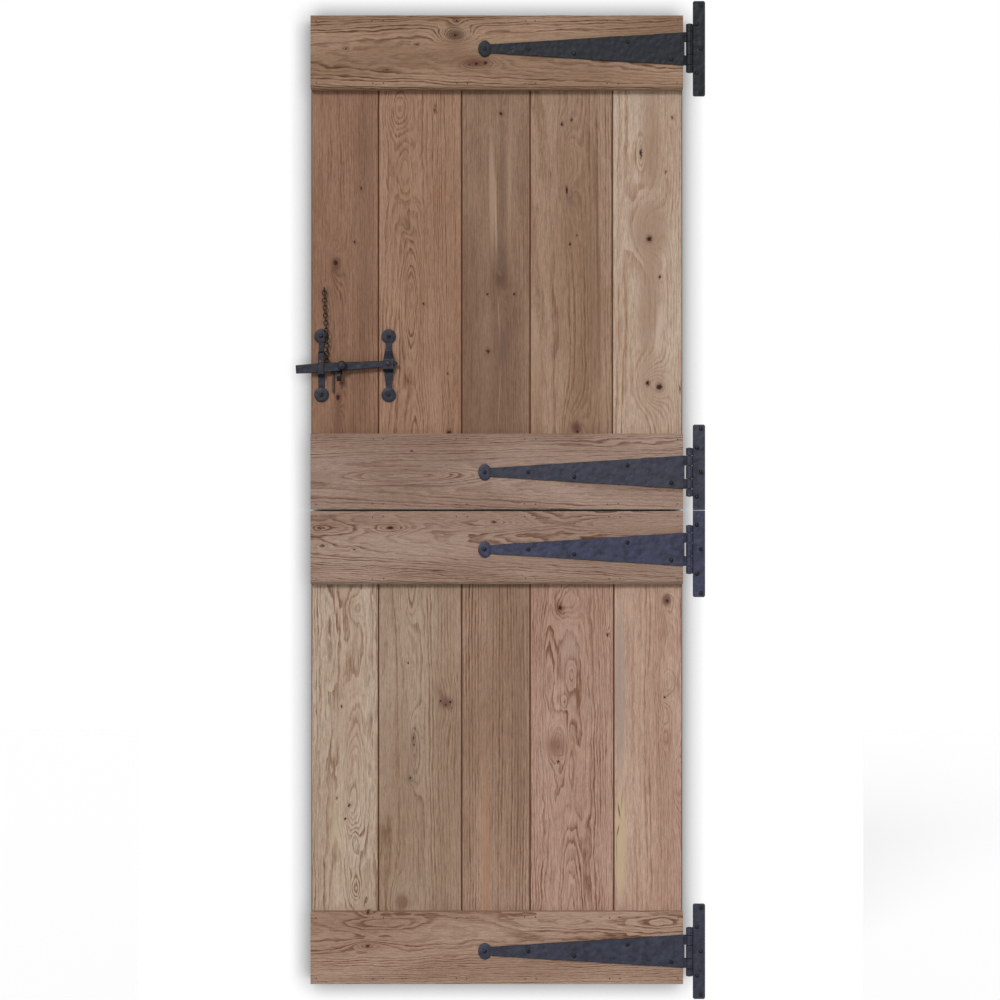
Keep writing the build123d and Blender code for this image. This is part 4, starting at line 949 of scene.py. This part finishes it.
def drawn_bar(form, places, radii, sides=20):
    """A round bar drawn through places in one upright plane, thicker or thinner on its way."""
    ring = bmesh.ops.create_circle(form, cap_ends=True, radius=1, segments=sides)["verts"]
    face = ring[0].link_faces[0]
    last = Matrix.Identity(4)
    for index, (place, radius) in enumerate(zip(places, radii)):
        ahead = places[min(index + 1, len(places) - 1)] - places[max(index - 1, 0)]
        lean = Matrix.Rotation(math.atan2(-ahead.y, ahead.z), 4, "X")
        here = Matrix.Translation(place) @ lean @ Matrix.Scale(radius, 4)
        if index:
            made = bmesh.ops.extrude_face_region(form, geom=[face])["geom"]
            face = next(item for item in made if isinstance(item, bmesh.types.BMFace))
        bmesh.ops.transform(form, matrix=here @ last.inverted(), verts=face.verts)
        last = here


def bow(x, *guides, steps):
    """Places on a smooth bend at x: four (y, z) guides, its two ends and two that steer it."""
    return geometry.interpolate_bezier(*(Vector((x, *guide)) for guide in guides), steps)


form = bmesh.new()
grip = bow(lever_x, (45, 1166), (74, 1158), (88, 1150), (88, 1122), steps=14)
grip += [Vector((lever_x, 88, z)) for z in range(1113, 1076, -9)]
grip += bow(lever_x, (88, 1068), (88, 1040), (74, 1032), (45, 1024), steps=14)
drawn_bar(form, grip, [5.2 + 1.3 * math.sin(math.pi * index / (len(grip) - 1))
                       for index in range(len(grip))])
turned(form, ((0, 0), (25, 0), (25, 3), (24, 4), (0, 4)),
       to_back(lever_x, boards_back, lever_z), steps=56)
turned(form, ((0, 0), (18, 0), (18, 3), (17, 4), (0, 4)),
       to_back(lever_x, boards_back, lever_z - 168), steps=48)
for ear_x in (lever_x - 6.6, lever_x + 6.6):
    ear = bmesh.ops.create_cube(form, size=1)["verts"]
    bmesh.ops.scale(form, vec=(3, 6, 11), verts=ear)
    bmesh.ops.translate(form, vec=(ear_x, 50, lever_z), verts=ear)
    turned(form, ((0, -1.6), (5.5, -1.6), (5.5, 1.6), (0, 1.6)),
           Matrix.Translation((ear_x, lever_y, lever_z)) @ across_door, steps=28)
finish_piece("pull_handle_forged", form, "upper_leaf", "pull_handle", arris=0.6)

# Chain staple and chain: a wire staple driven into the first board, and the brown iron chain
# of round-wire links that hangs from it, over the guide's edge and down behind the bar.
chain_iron = waxed_iron("chain_brown_iron", (40, 30, 26), 0.5)


def middle_of(node):
    """The middle of a solid's box, and the top of it."""
    low, high = (corner * 1000 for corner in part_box(node))
    return *((low + high) / 2), high.z


staple_x, _, staple_z, _ = middle_of("chain_staple")
low, high = staple_z - 4, staple_z + 4
form = bmesh.new()
crown = bow(staple_x, (12.4, low), (6.8, low), (6.8, high), (12.4, high), steps=12)
drawn_bar(form, [Vector((staple_x, 36, low)), *crown, Vector((staple_x, 36, high))],
          [0.7, *[1.15] * len(crown), 0.7], sides=12)
finish_piece("chain_staple_wire", form, "upper_leaf", "chain_staple", chain_iron)


def link_spots():
    """The middles of the chain's links, from the staple down, as the solids have them."""
    form = bmesh.new()
    form.from_mesh(nodes["lock_chain"].data)
    bmesh.ops.remove_doubles(form, verts=form.verts, dist=0.00001)
    left, spots = set(form.verts), []
    while left:
        island, edge = set(), [left.pop()]
        while edge:
            vert = edge.pop()
            island.add(vert)
            near = {other for link in vert.link_edges for other in link.verts} & left
            left -= near
            edge.extend(near)
        spots.append(sum((vert.co for vert in island), Vector()) * 1000 / len(island))
    form.free()
    return sorted(spots, key=lambda spot: -spot.z)


def wire_ring(form, wire, bend, steps):
    """A lying ring of round wire, given the wire's radius and the radius it is bent to."""
    before = set(form.verts)
    ring = bmesh.ops.create_circle(form, radius=wire, segments=10, cap_ends=False)["verts"]
    edges = list({edge for vert in ring for edge in vert.link_edges})
    bmesh.ops.rotate(form, cent=(0, 0, 0), verts=ring,
                     matrix=Matrix.Rotation(math.pi / 2, 3, "X"))
    bmesh.ops.translate(form, vec=(bend, 0, 0), verts=ring)
    return spun(form, ring + edges, before, steps)


links = link_spots()
form = bmesh.new()
for index, place in enumerate(links):
    made = wire_ring(form, 1.1, 4, 24)
    for vert in made:
        if abs(vert.co.y) > 0.01:
            vert.co.y += math.copysign(1.0, vert.co.y)
    upper, lower = links[max(index - 1, 0)], links[min(index + 1, len(links) - 1)]
    hang = Vector((0, 1, 0)).rotation_difference(upper - lower).to_matrix().to_4x4()
    quarter = Matrix.Rotation(math.pi / 2 * (index % 2), 4, "Y")
    bmesh.ops.transform(form, matrix=Matrix.Translation(place) @ hang @ quarter, verts=made)
finish_piece("lock_chain_links", form, "upper_leaf", "lock_chain", chain_iron)

# Lock peg: a turned and worn iron peg on the chain's last link, hanging by its eye. Pushed
# through the guide's hole above the bar, it keeps the latch shut.
peg_x, peg_y, _, peg_top = middle_of("lock_peg")
eye_z = peg_top - 3.7
form = bmesh.new()
eye = wire_ring(form, 1.0, 2.7, 28)
bmesh.ops.transform(form, matrix=to_viewer(peg_x, peg_y, eye_z), verts=eye)
turned(form, ((0, 0), (1.4, 0.4), (2.3, 3), (2.35, 12), (2.2, 28), (2, 35), (1.3, 37.6), (0, 38)),
       Matrix.Translation((peg_x, peg_y, eye_z - 2.7)) @ Matrix.Rotation(math.pi, 4, "X"),
       steps=20)
finish_piece("lock_peg_turned", form, "lock_peg", "lock_peg",
             waxed_iron("peg_worn_iron", (70, 64, 62), 0.45))
